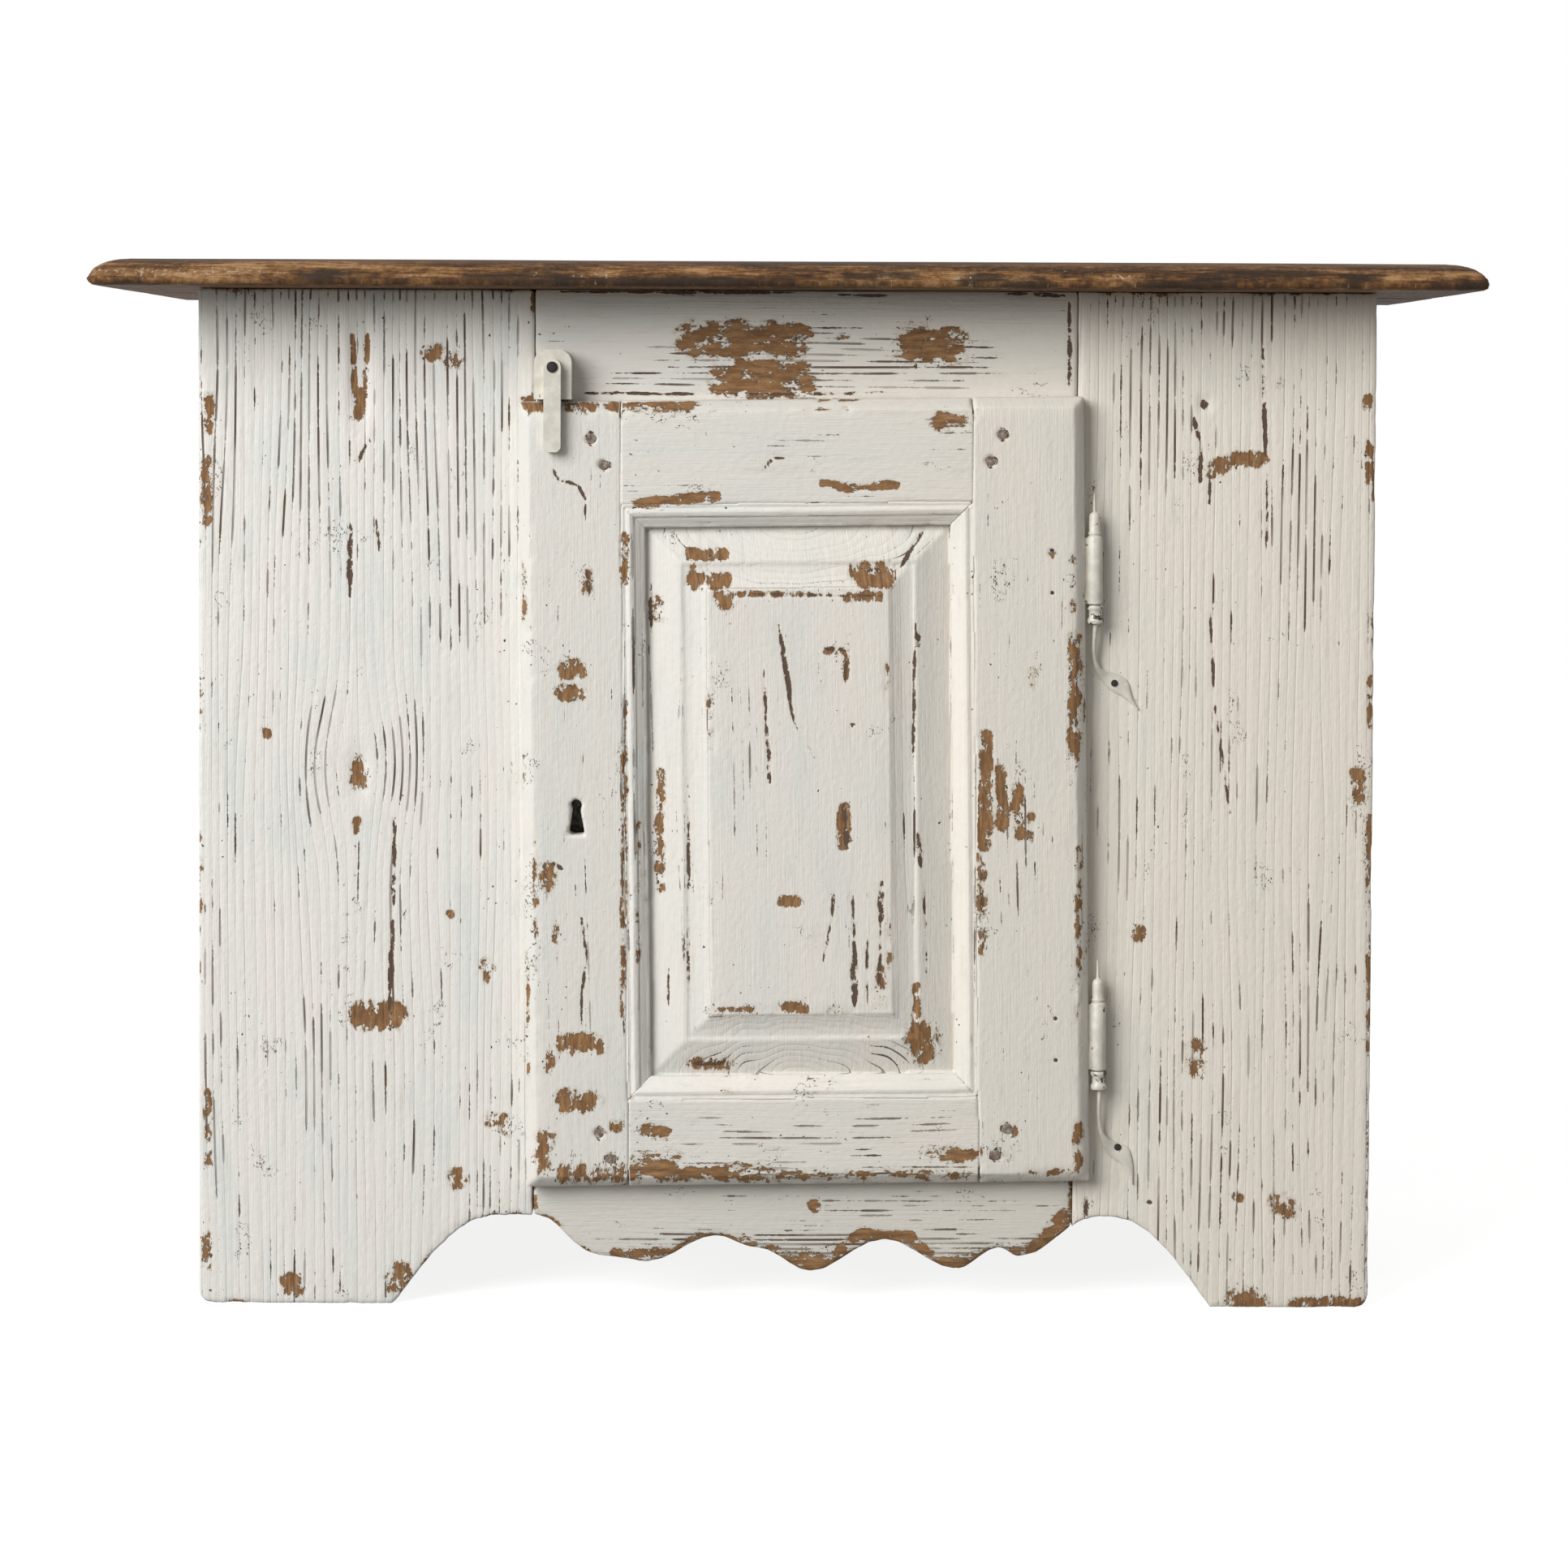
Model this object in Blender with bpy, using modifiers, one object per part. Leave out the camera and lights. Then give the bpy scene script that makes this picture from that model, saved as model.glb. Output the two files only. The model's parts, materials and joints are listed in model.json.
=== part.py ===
"""A painted country buffet cabinet with one panelled door, a turn button and iron rat-tail hinges.

Metres, +Z up. The front faces -Y and the origin lies on the floor under the middle of the top.
The door hangs a little out of square, so its pieces are laid out in a frame of their own on the hinge line.
"""

import math

import bmesh
import bpy
from mathutils import Matrix, Vector

# Gaps between pieces
FIT = 0.0003
CUT_PAST = 0.004

# Modelling
WELD_DISTANCE = 1e-6
SPIN_MERGE = 1e-5
SHARP_ANGLE = math.radians(40)
FACING = 0.5
ROUND_PROFILE = 0.5
EMPTY_SIZE = 0.050

# Body
BODY_WIDTH = 0.900
BODY_DEPTH = 0.430
BODY_HEIGHT = 0.780
PLANK_THICKNESS = 0.024
SIDE_THICKNESS = 0.022
BACK_THICKNESS = 0.014
BACK_BOARDS = 4
BACK_BOTTOM = 0.055

# Top
TOP_THICKNESS = 0.021
TOP_SIDE_OVERHANG = 0.075
TOP_FRONT_OVERHANG = 0.072
TOP_BACK_OVERHANG = 0.008
TOP_ROUND_WIDTH = 0.030
TOP_ROUND_DROP = 0.016
TOP_ROUND_STEPS = 5
TOP_FRONT_BOARD = 0.250

# Door
DOOR_WIDTH = 0.431
DOOR_THICKNESS = 0.022
DOOR_CENTRE_X = 0.0145
DOOR_BOTTOM_Z = 0.0965
DOOR_TOP_DROP = 0.0825
DOOR_LAP = 0.008
DOOR_CHAMFER = 0.008
DOOR_HANG = math.radians(0.8)
STILE_LEFT = 0.078
STILE_RIGHT = 0.085
RAIL_TOP = 0.079
RAIL_BOTTOM = 0.067

# Door joinery
GROOVE_WIDTH = 0.007
GROOVE_DEPTH = 0.010
GROOVE_SETBACK = 0.0095
PANEL_SLACK = 0.001
DOOR_TENON_LENGTH = 0.045
DOOR_TENON_INNER = 0.014
DOOR_TENON_OUTER = 0.012
PEG_RADIUS = 0.0037
PEG_SIDES = 16
PEG_NEAR = 0.013
PEG_FAR = 0.022
PEG_SPREAD = 0.020

# Door panel and mouldings
MOULDING_WIDTH = 0.017
MOULDING_LIP = 0.003
MOULDING_TOE = 0.003
MOULDING_TOE_HEIGHT = 0.0025
MOULDING_STEPS = 4
PANEL_MARGIN = 0.0005
BEVEL_WIDTH = 0.028
BEVEL_RISE = 0.0043
COVE_WIDTH = 0.020
COVE_RISE = 0.003
COVE_STEPS = 4
FIELD_STEP = 0.0012

# Feet and the sawn lower edge of the front
FOOT_LEFT = 0.150
FOOT_RIGHT = 0.122
FOOT_ROUND = 0.010
EDGE_STEPS = 5
LEFT_ARCH_RISE = 0.0686
RIGHT_ARCH_RISE = 0.0696
# Each turn of the sawn edge: its share of the way between the feet, and its height
SAWN_TURNS = (
    (0.124, LEFT_ARCH_RISE),
    (0.175, LEFT_ARCH_RISE),
    (0.250, 0.038),
    (0.312, 0.033),
    (0.394, 0.053),
    (0.446, 0.044),
    (0.510, 0.026),
    (0.601, 0.051),
    (0.690, 0.028),
    (0.741, 0.045),
    (0.767, 0.038),
    (0.861, RIGHT_ARCH_RISE),
    (0.880, RIGHT_ARCH_RISE),
)
SIDE_FOOT = 0.080
SIDE_ARCH_RISE = 0.069
SIDE_ARCH_STEPS = 10

# Front rail joinery
FRONT_TENON_LENGTH = 0.025
FRONT_TENON_THICKNESS = 0.008
FRONT_TENON_SHOULDER = 0.006

# Inside
FLOOR_THICKNESS = 0.018
SHELF_THICKNESS = 0.018
LOWER_ROOM = 0.300
SHELF_SETBACK = 0.040
CLEAT_WIDTH = 0.025
CLEAT_HEIGHT = 0.022

# Hinges
BARREL_RADIUS = 0.006
BARREL_HEIGHT = 0.052
BARREL_BORE = 0.0035
BARREL_ROOF = 0.004
PIN_CLEARANCE = 0.0003
HINGE_GAP = 0.0015
HINGE_STANDOFF = 0.011
UPPER_HINGE_DROP = 0.1329
LOWER_HINGE_RISE = 0.1111
TURNED_STEPS = 24
RING_RADIUS = 0.0068
RING_HEIGHT = 0.0045
RING_EASE = 0.0013
NECK_RADIUS = 0.003
NECK_HEIGHT = 0.010
NECK_FLARE = 0.0022
KNOB_RADIUS = 0.0044
KNOB_HEIGHT = 0.010
KNOB_EASE = 0.003
KNOB_SHOULDER = 0.003
SPIKE_HEIGHT = 0.012
SPIKE_FOOT_RADIUS = 0.0018
SPIKE_TIP_RADIUS = 0.0009
SPIKE_EASE = 0.0024
PIN_EASE = 0.0013
COLLAR_HEIGHT = 0.015
COLLAR_WAIST = 0.0046
COLLAR_BEAD = 0.00375
COLLAR_EASE = 0.0015
COLLAR_FOOT = 0.003
LEAF_THICKNESS = 0.0025
LEAF_LENGTH = 0.036
LEAF_HEIGHT = 0.050
LEAF_ROOT = 0.0044
LEAF_PIN_RADIUS = 0.0015
LEAF_PIN_INSET = 0.026
LEAF_PIN_SPACING = 0.032
LEAF_PIN_SIDES = 12
TAIL_RADIUS = 0.0019
TAIL_STRAIGHT = 0.026
TAIL_STEPS = 10
TAIL_ROUND_STEPS = 2
TAIL_SEATED = 0.6
TAIL_PAD_X = 0.015
TAIL_PAD_DROP = 0.0455
TAIL_TIP_X = 0.026
TAIL_TIP_DROP = 0.067
# Shares of the way from the pad to the tip, and the tail's thickness there
TAIL_TAPER = ((0.5, 0.85), (1.0, 0.5))
PAD_RADIUS = 0.0065
PAD_THICKNESS = 0.003
NAIL_RADIUS = 0.0015
NAIL_LENGTH = 0.020
NAIL_HEAD_RADIUS = 0.0042
NAIL_HEAD_HEIGHT = 0.0020
# Shares of a nail's or screw's head and length where its profile turns
CROWN_RADIUS_SHARE = 0.6
CROWN_HEIGHT_SHARE = 0.85
HEAD_RIM_SHARE = 0.3
SHANK_SHARE = 0.85

# Turn button
BUTTON_INSET = 0.015
BUTTON_BLOCK_WIDTH = 0.0285
BUTTON_BLOCK_HEIGHT = 0.038
BUTTON_BLOCK_ROUND = 0.010
BUTTON_DOOR_GAP = 0.0015
BUTTON_FACE_GAP = 0.001
BUTTON_PIVOT_DROP = 0.0135
BUTTON_WIDTH = 0.013
BUTTON_LENGTH = 0.071
BUTTON_THICKNESS = 0.008
BUTTON_HEAD = 0.0065
BUTTON_FOOT_CUT = 0.003
BUTTON_SCREW_RADIUS = 0.0018
BUTTON_SCREW_BITE = 0.014

# Lock
LOCK_EDGE_GAP = 0.004
LOCK_WIDTH = 0.055
LOCK_HEIGHT = 0.070
LOCK_DEPTH = 0.016
LOCK_WALL = 0.002
LOCK_RISE = 0.006
LUG_WIDTH = 0.016
LUG_HEIGHT = 0.012
LOCK_SCREW_RADIUS = 0.0016
LOCK_SCREW_LENGTH = 0.012
LOCK_SCREW_HEAD_RADIUS = 0.0034
LOCK_SCREW_HEAD_HEIGHT = 0.0018
KEYHOLE_INSET = 0.0415
KEYHOLE_RISE = 0.2844
KEYHOLE_RADIUS = 0.0054
KEYHOLE_HEIGHT = 0.029
KEYHOLE_FOOT = 0.015
KEYHOLE_NECK_ANGLE = 40
KEYHOLE_STEPS = 12
BOLT_RISE = 0.012
BOLT_HEIGHT = 0.012
BOLT_THICKNESS = 0.006
BOLT_SETBACK = 0.0055
BOLT_LENGTH = 0.044
BOLT_THROW = 0.010
STUMP_RADIUS = 0.002
STUMP_INSET = 0.026
BOLT_POCKET_GAP = 0.001
BOLT_POCKET_DEPTH = 0.014
STRIKE_THICKNESS = 0.0015
STRIKE_MARGIN = 0.0025
STRIKE_LUG = 0.012

# Frame worked out from the sizes
TOP_DEPTH = BODY_DEPTH + TOP_FRONT_OVERHANG + TOP_BACK_OVERHANG
TOP_WIDTH = BODY_WIDTH + 2 * TOP_SIDE_OVERHANG
FRONT_Y = -TOP_DEPTH / 2 + TOP_FRONT_OVERHANG
FRONT_INNER_Y = FRONT_Y + PLANK_THICKNESS
BACK_Y = FRONT_Y + BODY_DEPTH
BACK_INNER_Y = BACK_Y - BACK_THICKNESS
BODY_LEFT = -BODY_WIDTH / 2
BODY_RIGHT = BODY_WIDTH / 2
ROOM_LEFT = BODY_LEFT + SIDE_THICKNESS
ROOM_RIGHT = BODY_RIGHT - SIDE_THICKNESS
DOOR_TOP_Z = BODY_HEIGHT - DOOR_TOP_DROP
DOOR_HEIGHT = DOOR_TOP_Z - DOOR_BOTTOM_Z
OPENING_LEFT = DOOR_CENTRE_X - DOOR_WIDTH / 2 + DOOR_LAP
OPENING_RIGHT = DOOR_CENTRE_X + DOOR_WIDTH / 2 - DOOR_LAP
OPENING_BOTTOM = DOOR_BOTTOM_Z + DOOR_LAP
OPENING_TOP = DOOR_TOP_Z - DOOR_LAP
BUTTON_X = OPENING_LEFT + BUTTON_INSET
SHELF_BOTTOM = OPENING_BOTTOM + LOWER_ROOM
FEET_LEFT = BODY_LEFT + FOOT_LEFT
FEET_RIGHT = BODY_RIGHT - FOOT_RIGHT

# Door frame: its origin is on the hinge line at half the door's height
HINGE_REACH = BARREL_RADIUS + HINGE_GAP
HINGE_X = DOOR_CENTRE_X + DOOR_WIDTH / 2 + HINGE_REACH
HINGE_Y = FRONT_Y - HINGE_STANDOFF
HINGE_Z = DOOR_BOTTOM_Z + DOOR_HEIGHT / 2 + (DOOR_WIDTH / 2 + HINGE_REACH) * math.sin(DOOR_HANG)
DOOR_FRAME = Matrix.Translation((HINGE_X, HINGE_Y, HINGE_Z)) @ Matrix.Rotation(-DOOR_HANG, 4, "Y")
DOOR_EDGE = -HINGE_REACH
DOOR_FREE = DOOR_EDGE - DOOR_WIDTH
DOOR_HALF = DOOR_HEIGHT / 2
DOOR_BACK = HINGE_STANDOFF - FIT
DOOR_FACE = DOOR_BACK - DOOR_THICKNESS
INNER_LEFT = DOOR_FREE + STILE_LEFT
INNER_RIGHT = DOOR_EDGE - STILE_RIGHT
INNER_BOTTOM = -DOOR_HALF + RAIL_BOTTOM
INNER_TOP = DOOR_HALF - RAIL_TOP
GROOVE_FRONT = DOOR_FACE + GROOVE_SETBACK
GROOVE_BACK = GROOVE_FRONT + GROOVE_WIDTH
HINGE_LEVELS = {"upper": DOOR_HALF - UPPER_HINGE_DROP, "lower": LOWER_HINGE_RISE - DOOR_HALF}
KEYHOLE_LEVEL = KEYHOLE_RISE - DOOR_HALF

# Finishes: colour, roughness, metallic
PAINT = ((0.70, 0.69, 0.64), 0.55, 0.0)
TOP_WOOD = ((0.16, 0.09, 0.05), 0.60, 0.0)
RAW_WOOD = ((0.36, 0.25, 0.15), 0.75, 0.0)
PEG_WOOD = ((0.30, 0.20, 0.12), 0.70, 0.0)
IRON = ((0.19, 0.17, 0.15), 0.50, 0.9)
WORN_IRON = ((0.45, 0.43, 0.40), 0.45, 0.6)


def new_collection(name):
    collection = bpy.data.collections.new(name)
    bpy.context.scene.collection.children.link(collection)
    return collection


def clear_scene():
    for item in list(bpy.data.objects):
        bpy.data.objects.remove(item, do_unlink=True)


clear_scene()
PARTS = new_collection("buffet_cabinet")
CUTTERS = new_collection("cutters")


def frame_empty(name, matrix):
    """An empty that carries the pieces laid out in its frame."""
    empty = bpy.data.objects.new(name, None)
    empty.empty_display_size = EMPTY_SIZE
    PARTS.objects.link(empty)
    empty.matrix_world = matrix
    return empty


def place(item, finish, parent):
    """Files a piece with its own material, or a cutter when it has no finish."""
    item.parent = parent
    if finish is None:
        CUTTERS.objects.link(item)
        item.hide_render = True
        item.display_type = "WIRE"
        return item
    PARTS.objects.link(item)
    colour, roughness, metallic = finish
    material = bpy.data.materials.new(item.name)
    material.use_nodes = True
    shader = material.node_tree.nodes["Principled BSDF"]
    shader.inputs["Base Color"].default_value = (*colour, 1.0)
    shader.inputs["Roughness"].default_value = roughness
    shader.inputs["Metallic"].default_value = metallic
    item.data.materials.append(material)
    return item


def block(name, x, y, z, finish=None, parent=None):
    """A box between two values on each axis."""
    sizes = (x[1] - x[0], y[1] - y[0], z[1] - z[0])
    mesh = bpy.data.meshes.new(name)
    bm = bmesh.new()
    bmesh.ops.create_cube(bm, size=1.0, matrix=Matrix.Diagonal((*sizes, 1.0)))
    bm.to_mesh(mesh)
    bm.free()
    item = bpy.data.objects.new(name, mesh)
    item.location = (sum(x) / 2, sum(y) / 2, sum(z) / 2)
    return place(item, finish, parent)


def rod(name, radius, x, y, z, sides, finish=None, parent=None):
    """A round bar along Y, between two values of y."""
    mesh = bpy.data.meshes.new(name)
    bm = bmesh.new()
    bmesh.ops.create_cone(
        bm,
        cap_ends=True,
        segments=sides,
        radius1=radius,
        radius2=radius,
        depth=y[1] - y[0],
        matrix=Matrix.Rotation(math.pi / 2, 4, "X"),
    )
    bm.to_mesh(mesh)
    bm.free()
    mesh.shade_smooth()
    mesh.set_sharp_from_angle(angle=SHARP_ANGLE)
    item = bpy.data.objects.new(name, mesh)
    item.location = (x, sum(y) / 2, z)
    return place(item, finish, parent)


def solid_from_curve(name, curve):
    """A curve's shape as a welded mesh."""
    source = bpy.data.objects.new(name + "_curve", curve)
    CUTTERS.objects.link(source)
    evaluated = source.evaluated_get(bpy.context.evaluated_depsgraph_get())
    mesh = bpy.data.meshes.new_from_object(evaluated)
    mesh.name = name
    bpy.data.objects.remove(source, do_unlink=True)
    bpy.data.curves.remove(curve)
    bm = bmesh.new()
    bm.from_mesh(mesh)
    bmesh.ops.remove_doubles(bm, verts=bm.verts, dist=WELD_DISTANCE)
    bmesh.ops.recalc_face_normals(bm, faces=bm.faces)
    bm.to_mesh(mesh)
    bm.free()
    return mesh


def flat_mesh(name, outline, thickness):
    """A flat outline in local X and Y, as thick as said along local Z about its middle."""
    curve = bpy.data.curves.new(name, "CURVE")
    curve.dimensions = "2D"
    curve.fill_mode = "BOTH"
    curve.extrude = thickness / 2
    spline = curve.splines.new("POLY")
    spline.points.add(len(outline) - 1)
    for point, (x, y) in zip(spline.points, outline):
        point.co = (x, y, 0.0, 1.0)
    spline.use_cyclic_u = True
    return solid_from_curve(name, curve)


def front_board(name, outline, y, finish=None, parent=None):
    """A board whose outline is seen from the front, between two values of y."""
    item = bpy.data.objects.new(name, flat_mesh(name, outline, y[1] - y[0]))
    item.rotation_euler = (math.pi / 2, 0.0, 0.0)
    item.location = (0.0, sum(y) / 2, 0.0)
    return place(item, finish, parent)


def side_board(name, outline, x, finish):
    """A board whose outline is seen from the side, between two values of x."""
    item = bpy.data.objects.new(name, flat_mesh(name, outline, x[1] - x[0]))
    item.rotation_euler = (math.pi / 2, 0.0, math.pi / 2)
    item.location = (sum(x) / 2, 0.0, 0.0)
    return place(item, finish, None)


def turned(name, profile, location, finish, parent, facing=(0.0, 0.0, 0.0)):
    """A turned piece from its profile of radius and height, which runs down the outer side."""
    mesh = bpy.data.meshes.new(name)
    points = [(radius, 0.0, height) for radius, height in profile]
    edges = [(step, step + 1) for step in range(len(points) - 1)]
    mesh.from_pydata(points, edges, [])
    item = bpy.data.objects.new(name, mesh)
    item.location = location
    item.rotation_euler = facing
    spin = item.modifiers.new("spin", "SCREW")
    spin.steps = TURNED_STEPS
    spin.render_steps = TURNED_STEPS
    spin.use_merge_vertices = True
    spin.merge_threshold = SPIN_MERGE
    spin.use_smooth_shade = True
    return place(item, finish, parent)


def boolean(piece, other, operation):
    step = piece.modifiers.new(other.name, "BOOLEAN")
    step.operation = operation
    step.object = other


def cut(piece, *cutters):
    for cutter in cutters:
        boolean(piece, cutter, "DIFFERENCE")


def join(piece, *others):
    for other in others:
        boolean(piece, other, "UNION")


def grown(span, gap):
    return (span[0] - gap, span[1] + gap)


def arc(centre, radius, start, end, steps):
    """Points of an arc about a centre, with its angles in degrees."""
    angles = [math.radians(start + (end - start) * step / steps) for step in range(steps + 1)]
    return [(centre[0] + radius * math.cos(a), centre[1] + radius * math.sin(a)) for a in angles]


# The sawn lower edge of the front


def sawn_edge():
    """Points of the lower edge from foot to foot, swept up from each foot and waved between its turns."""
    span = FEET_RIGHT - FEET_LEFT
    turns = [(FEET_LEFT + share * span, height) for share, height in SAWN_TURNS]
    points = []
    first_x, first_height = turns[0]
    for step in range(EDGE_STEPS):
        part = step / EDGE_STEPS
        sweep = first_height * math.sin(math.pi / 2 * part)
        points.append((FEET_LEFT + (first_x - FEET_LEFT) * part, sweep))
    for (x0, z0), (x1, z1) in zip(turns, turns[1:]):
        steps = 1 if z0 == z1 else EDGE_STEPS
        for step in range(steps):
            part = step / steps
            ease = (1 - math.cos(math.pi * part)) / 2
            points.append((x0 + (x1 - x0) * part, z0 + (z1 - z0) * ease))
    last_x, last_height = turns[-1]
    for step in range(EDGE_STEPS + 1):
        part = step / EDGE_STEPS
        sweep = last_height * math.cos(math.pi / 2 * part)
        points.append((last_x + (FEET_RIGHT - last_x) * part, sweep))
    return points


def edge_between(left, right):
    """The stretch of the sawn edge between two values of x, with both ends on it."""
    points = sawn_edge()
    found = []
    for (x0, z0), (x1, z1) in zip(points, points[1:]):
        for end in (left, right):
            if x0 < end < x1:
                found.append((end, z0 + (z1 - z0) * (end - x0) / (x1 - x0)))
    found.extend(point for point in points if left <= point[0] <= right)
    return sorted(found)


# Front boards

FRONT_SPAN = (FRONT_Y, FRONT_INNER_Y)
TENON_MIDDLE_Y = (FRONT_Y + FRONT_INNER_Y) / 2
TENON_SPAN = (TENON_MIDDLE_Y - FRONT_TENON_THICKNESS / 2, TENON_MIDDLE_Y + FRONT_TENON_THICKNESS / 2)
TENON_REACH = (OPENING_LEFT - FRONT_TENON_LENGTH, OPENING_RIGHT + FRONT_TENON_LENGTH)


def front_planks():
    left_edge = edge_between(FEET_LEFT, OPENING_LEFT)
    left_outline = arc((BODY_LEFT + FOOT_ROUND, FOOT_ROUND), FOOT_ROUND, 180, 270, EDGE_STEPS)
    left_outline += left_edge
    left_outline += [(OPENING_LEFT, BODY_HEIGHT), (BODY_LEFT, BODY_HEIGHT)]
    left = front_board("front_plank_left", left_outline, FRONT_SPAN, PAINT)
    right_edge = edge_between(OPENING_RIGHT, FEET_RIGHT)
    right_outline = right_edge
    right_outline += arc((BODY_RIGHT - FOOT_ROUND, FOOT_ROUND), FOOT_ROUND, 270, 360, EDGE_STEPS)
    right_outline += [(BODY_RIGHT, BODY_HEIGHT), (OPENING_RIGHT, BODY_HEIGHT)]
    right = front_board("front_plank_right", right_outline, FRONT_SPAN, PAINT)
    return left, right


def front_rail(name, outline, tenon_z, planks):
    """A rail between the planks, with a tenon let into each of them."""
    rail = front_board(name, outline, FRONT_SPAN, PAINT)
    join(rail, block(name + "_tenons", TENON_REACH, TENON_SPAN, tenon_z))
    mortise = block(
        name + "_mortises", grown(TENON_REACH, FIT), grown(TENON_SPAN, FIT), grown(tenon_z, FIT)
    )
    for plank in planks:
        cut(plank, mortise)
    return rail


def front_rails(planks):
    left, right = OPENING_LEFT + FIT, OPENING_RIGHT - FIT
    top_outline = [(left, OPENING_TOP), (right, OPENING_TOP), (right, BODY_HEIGHT), (left, BODY_HEIGHT)]
    top_tenon = (OPENING_TOP + FRONT_TENON_SHOULDER, BODY_HEIGHT - FRONT_TENON_SHOULDER)
    top_rail = front_rail("front_top_rail", top_outline, top_tenon, planks)
    apron_edge = edge_between(left, right)
    apron_outline = apron_edge + [(right, OPENING_BOTTOM), (left, OPENING_BOTTOM)]
    apron_top = max(LEFT_ARCH_RISE, RIGHT_ARCH_RISE)
    apron_tenon = (apron_top + FRONT_TENON_SHOULDER, OPENING_BOTTOM - FRONT_TENON_SHOULDER)
    front_rail("front_apron", apron_outline, apron_tenon, planks)
    return top_rail


# Sides, back, floor, shelf and top


def sides():
    """Two boards a side, with an arch sawn between the front and back feet."""
    front, back = FRONT_INNER_Y + FIT, BACK_INNER_Y - FIT
    seam = (front + back) / 2
    reach = seam - front - SIDE_FOOT
    angles = [math.pi / 2 * step / SIDE_ARCH_STEPS for step in range(SIDE_ARCH_STEPS + 1)]
    rise = [(reach * (1 - math.cos(a)), SIDE_ARCH_RISE * math.sin(a)) for a in angles]
    top = BODY_HEIGHT
    spans = {"left": (BODY_LEFT, ROOM_LEFT), "right": (ROOM_RIGHT, BODY_RIGHT)}
    for hand, span in spans.items():
        front_outline = [(front, top), (front, 0.0)]
        front_outline += [(front + SIDE_FOOT + run - FIT / 2, z) for run, z in rise]
        front_outline += [(seam - FIT / 2, top)]
        side_board(f"side_board_{hand}_front", front_outline, span, PAINT)
        back_outline = [(back, top), (back, 0.0)]
        back_outline += [(back - SIDE_FOOT - run + FIT / 2, z) for run, z in rise]
        back_outline += [(seam + FIT / 2, top)]
        side_board(f"side_board_{hand}_back", back_outline, span, PAINT)


def back_boards():
    width = BODY_WIDTH / BACK_BOARDS
    for number in range(BACK_BOARDS):
        start = BODY_LEFT + number * width
        span = (start + FIT / 2, start + width - FIT / 2)
        block(f"back_board_{number + 1}", span, (BACK_INNER_Y, BACK_Y), (BACK_BOTTOM, BODY_HEIGHT), RAW_WOOD)


def cleats(name, front, z):
    """A batten along each side, from a value of y to the back."""
    span = (front + FIT, BACK_INNER_Y - FIT)
    block(name + "_left", (ROOM_LEFT + FIT, ROOM_LEFT + CLEAT_WIDTH), span, z, RAW_WOOD)
    block(name + "_right", (ROOM_RIGHT - CLEAT_WIDTH, ROOM_RIGHT - FIT), span, z, RAW_WOOD)


def board_pair(name, front, z):
    """Two boards from side to side, from a value of y to the back."""
    start, end = front + FIT, BACK_INNER_Y - FIT
    seam = (start + end) / 2
    width = (ROOM_LEFT + FIT, ROOM_RIGHT - FIT)
    block(name + "_front", width, (start, seam - FIT / 2), z, RAW_WOOD)
    block(name + "_back", width, (seam + FIT / 2, end), z, RAW_WOOD)


def inside():
    floor_bottom = OPENING_BOTTOM - FLOOR_THICKNESS
    board_pair("floor_board", FRONT_INNER_Y, (floor_bottom, OPENING_BOTTOM))
    cleats("floor_cleat", FRONT_INNER_Y, (floor_bottom - CLEAT_HEIGHT, floor_bottom - FIT))
    shelf_front = FRONT_INNER_Y + SHELF_SETBACK
    board_pair("shelf_board", shelf_front, (SHELF_BOTTOM, SHELF_BOTTOM + SHELF_THICKNESS))
    cleats("shelf_cleat", shelf_front, (SHELF_BOTTOM - CLEAT_HEIGHT, SHELF_BOTTOM - FIT))
    cleats("top_batten", FRONT_INNER_Y, (BODY_HEIGHT - CLEAT_HEIGHT, BODY_HEIGHT))


def top_board(name, y, round_front):
    """A board of the top, rounded over along its ends and, on the front board, along its front."""
    stretch = TOP_ROUND_WIDTH / TOP_ROUND_DROP
    low, high = BODY_HEIGHT + FIT, BODY_HEIGHT + TOP_THICKNESS
    board = block(name, (-TOP_WIDTH / 2, TOP_WIDTH / 2), y, (low, high), TOP_WOOD)
    bm = bmesh.new()
    bm.from_mesh(board.data)
    bmesh.ops.scale(bm, vec=(1.0, 1.0, stretch), verts=bm.verts)
    bm.normal_update()
    rounded = []
    for edge in bm.edges:
        normals = [face.normal for face in edge.link_faces]
        outer = sum(normals, Vector())
        is_end = outer.z > FACING and abs(outer.x) > FACING
        is_front = outer.z > FACING and outer.y < -FACING
        if is_end or (round_front and is_front):
            rounded.append(edge)
    bmesh.ops.bevel(
        bm,
        geom=rounded,
        offset=TOP_ROUND_WIDTH,
        segments=TOP_ROUND_STEPS,
        profile=ROUND_PROFILE,
        affect="EDGES",
    )
    bmesh.ops.scale(bm, vec=(1.0, 1.0, 1 / stretch), verts=bm.verts)
    bm.to_mesh(board.data)
    bm.free()


def top():
    seam = -TOP_DEPTH / 2 + TOP_FRONT_BOARD
    top_board("top_board_front", (-TOP_DEPTH / 2, seam - FIT / 2), True)
    top_board("top_board_back", (seam + FIT / 2, TOP_DEPTH / 2), False)


# Door frame, panel and mouldings


def door_envelope(parent):
    """The whole door as one block with a chamfer round its face, which shapes the frame's members."""
    envelope = block(
        "door_envelope",
        (DOOR_FREE, DOOR_EDGE),
        (DOOR_FACE, DOOR_BACK),
        (-DOOR_HALF, DOOR_HALF),
        parent=parent,
    )
    bm = bmesh.new()
    bm.from_mesh(envelope.data)
    bm.normal_update()
    face_edges = [e for e in bm.edges if any(f.normal.y < -FACING for f in e.link_faces)]
    bmesh.ops.bevel(bm, geom=face_edges, offset=DOOR_CHAMFER, segments=1, affect="EDGES")
    bm.to_mesh(envelope.data)
    bm.free()
    return envelope


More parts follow.
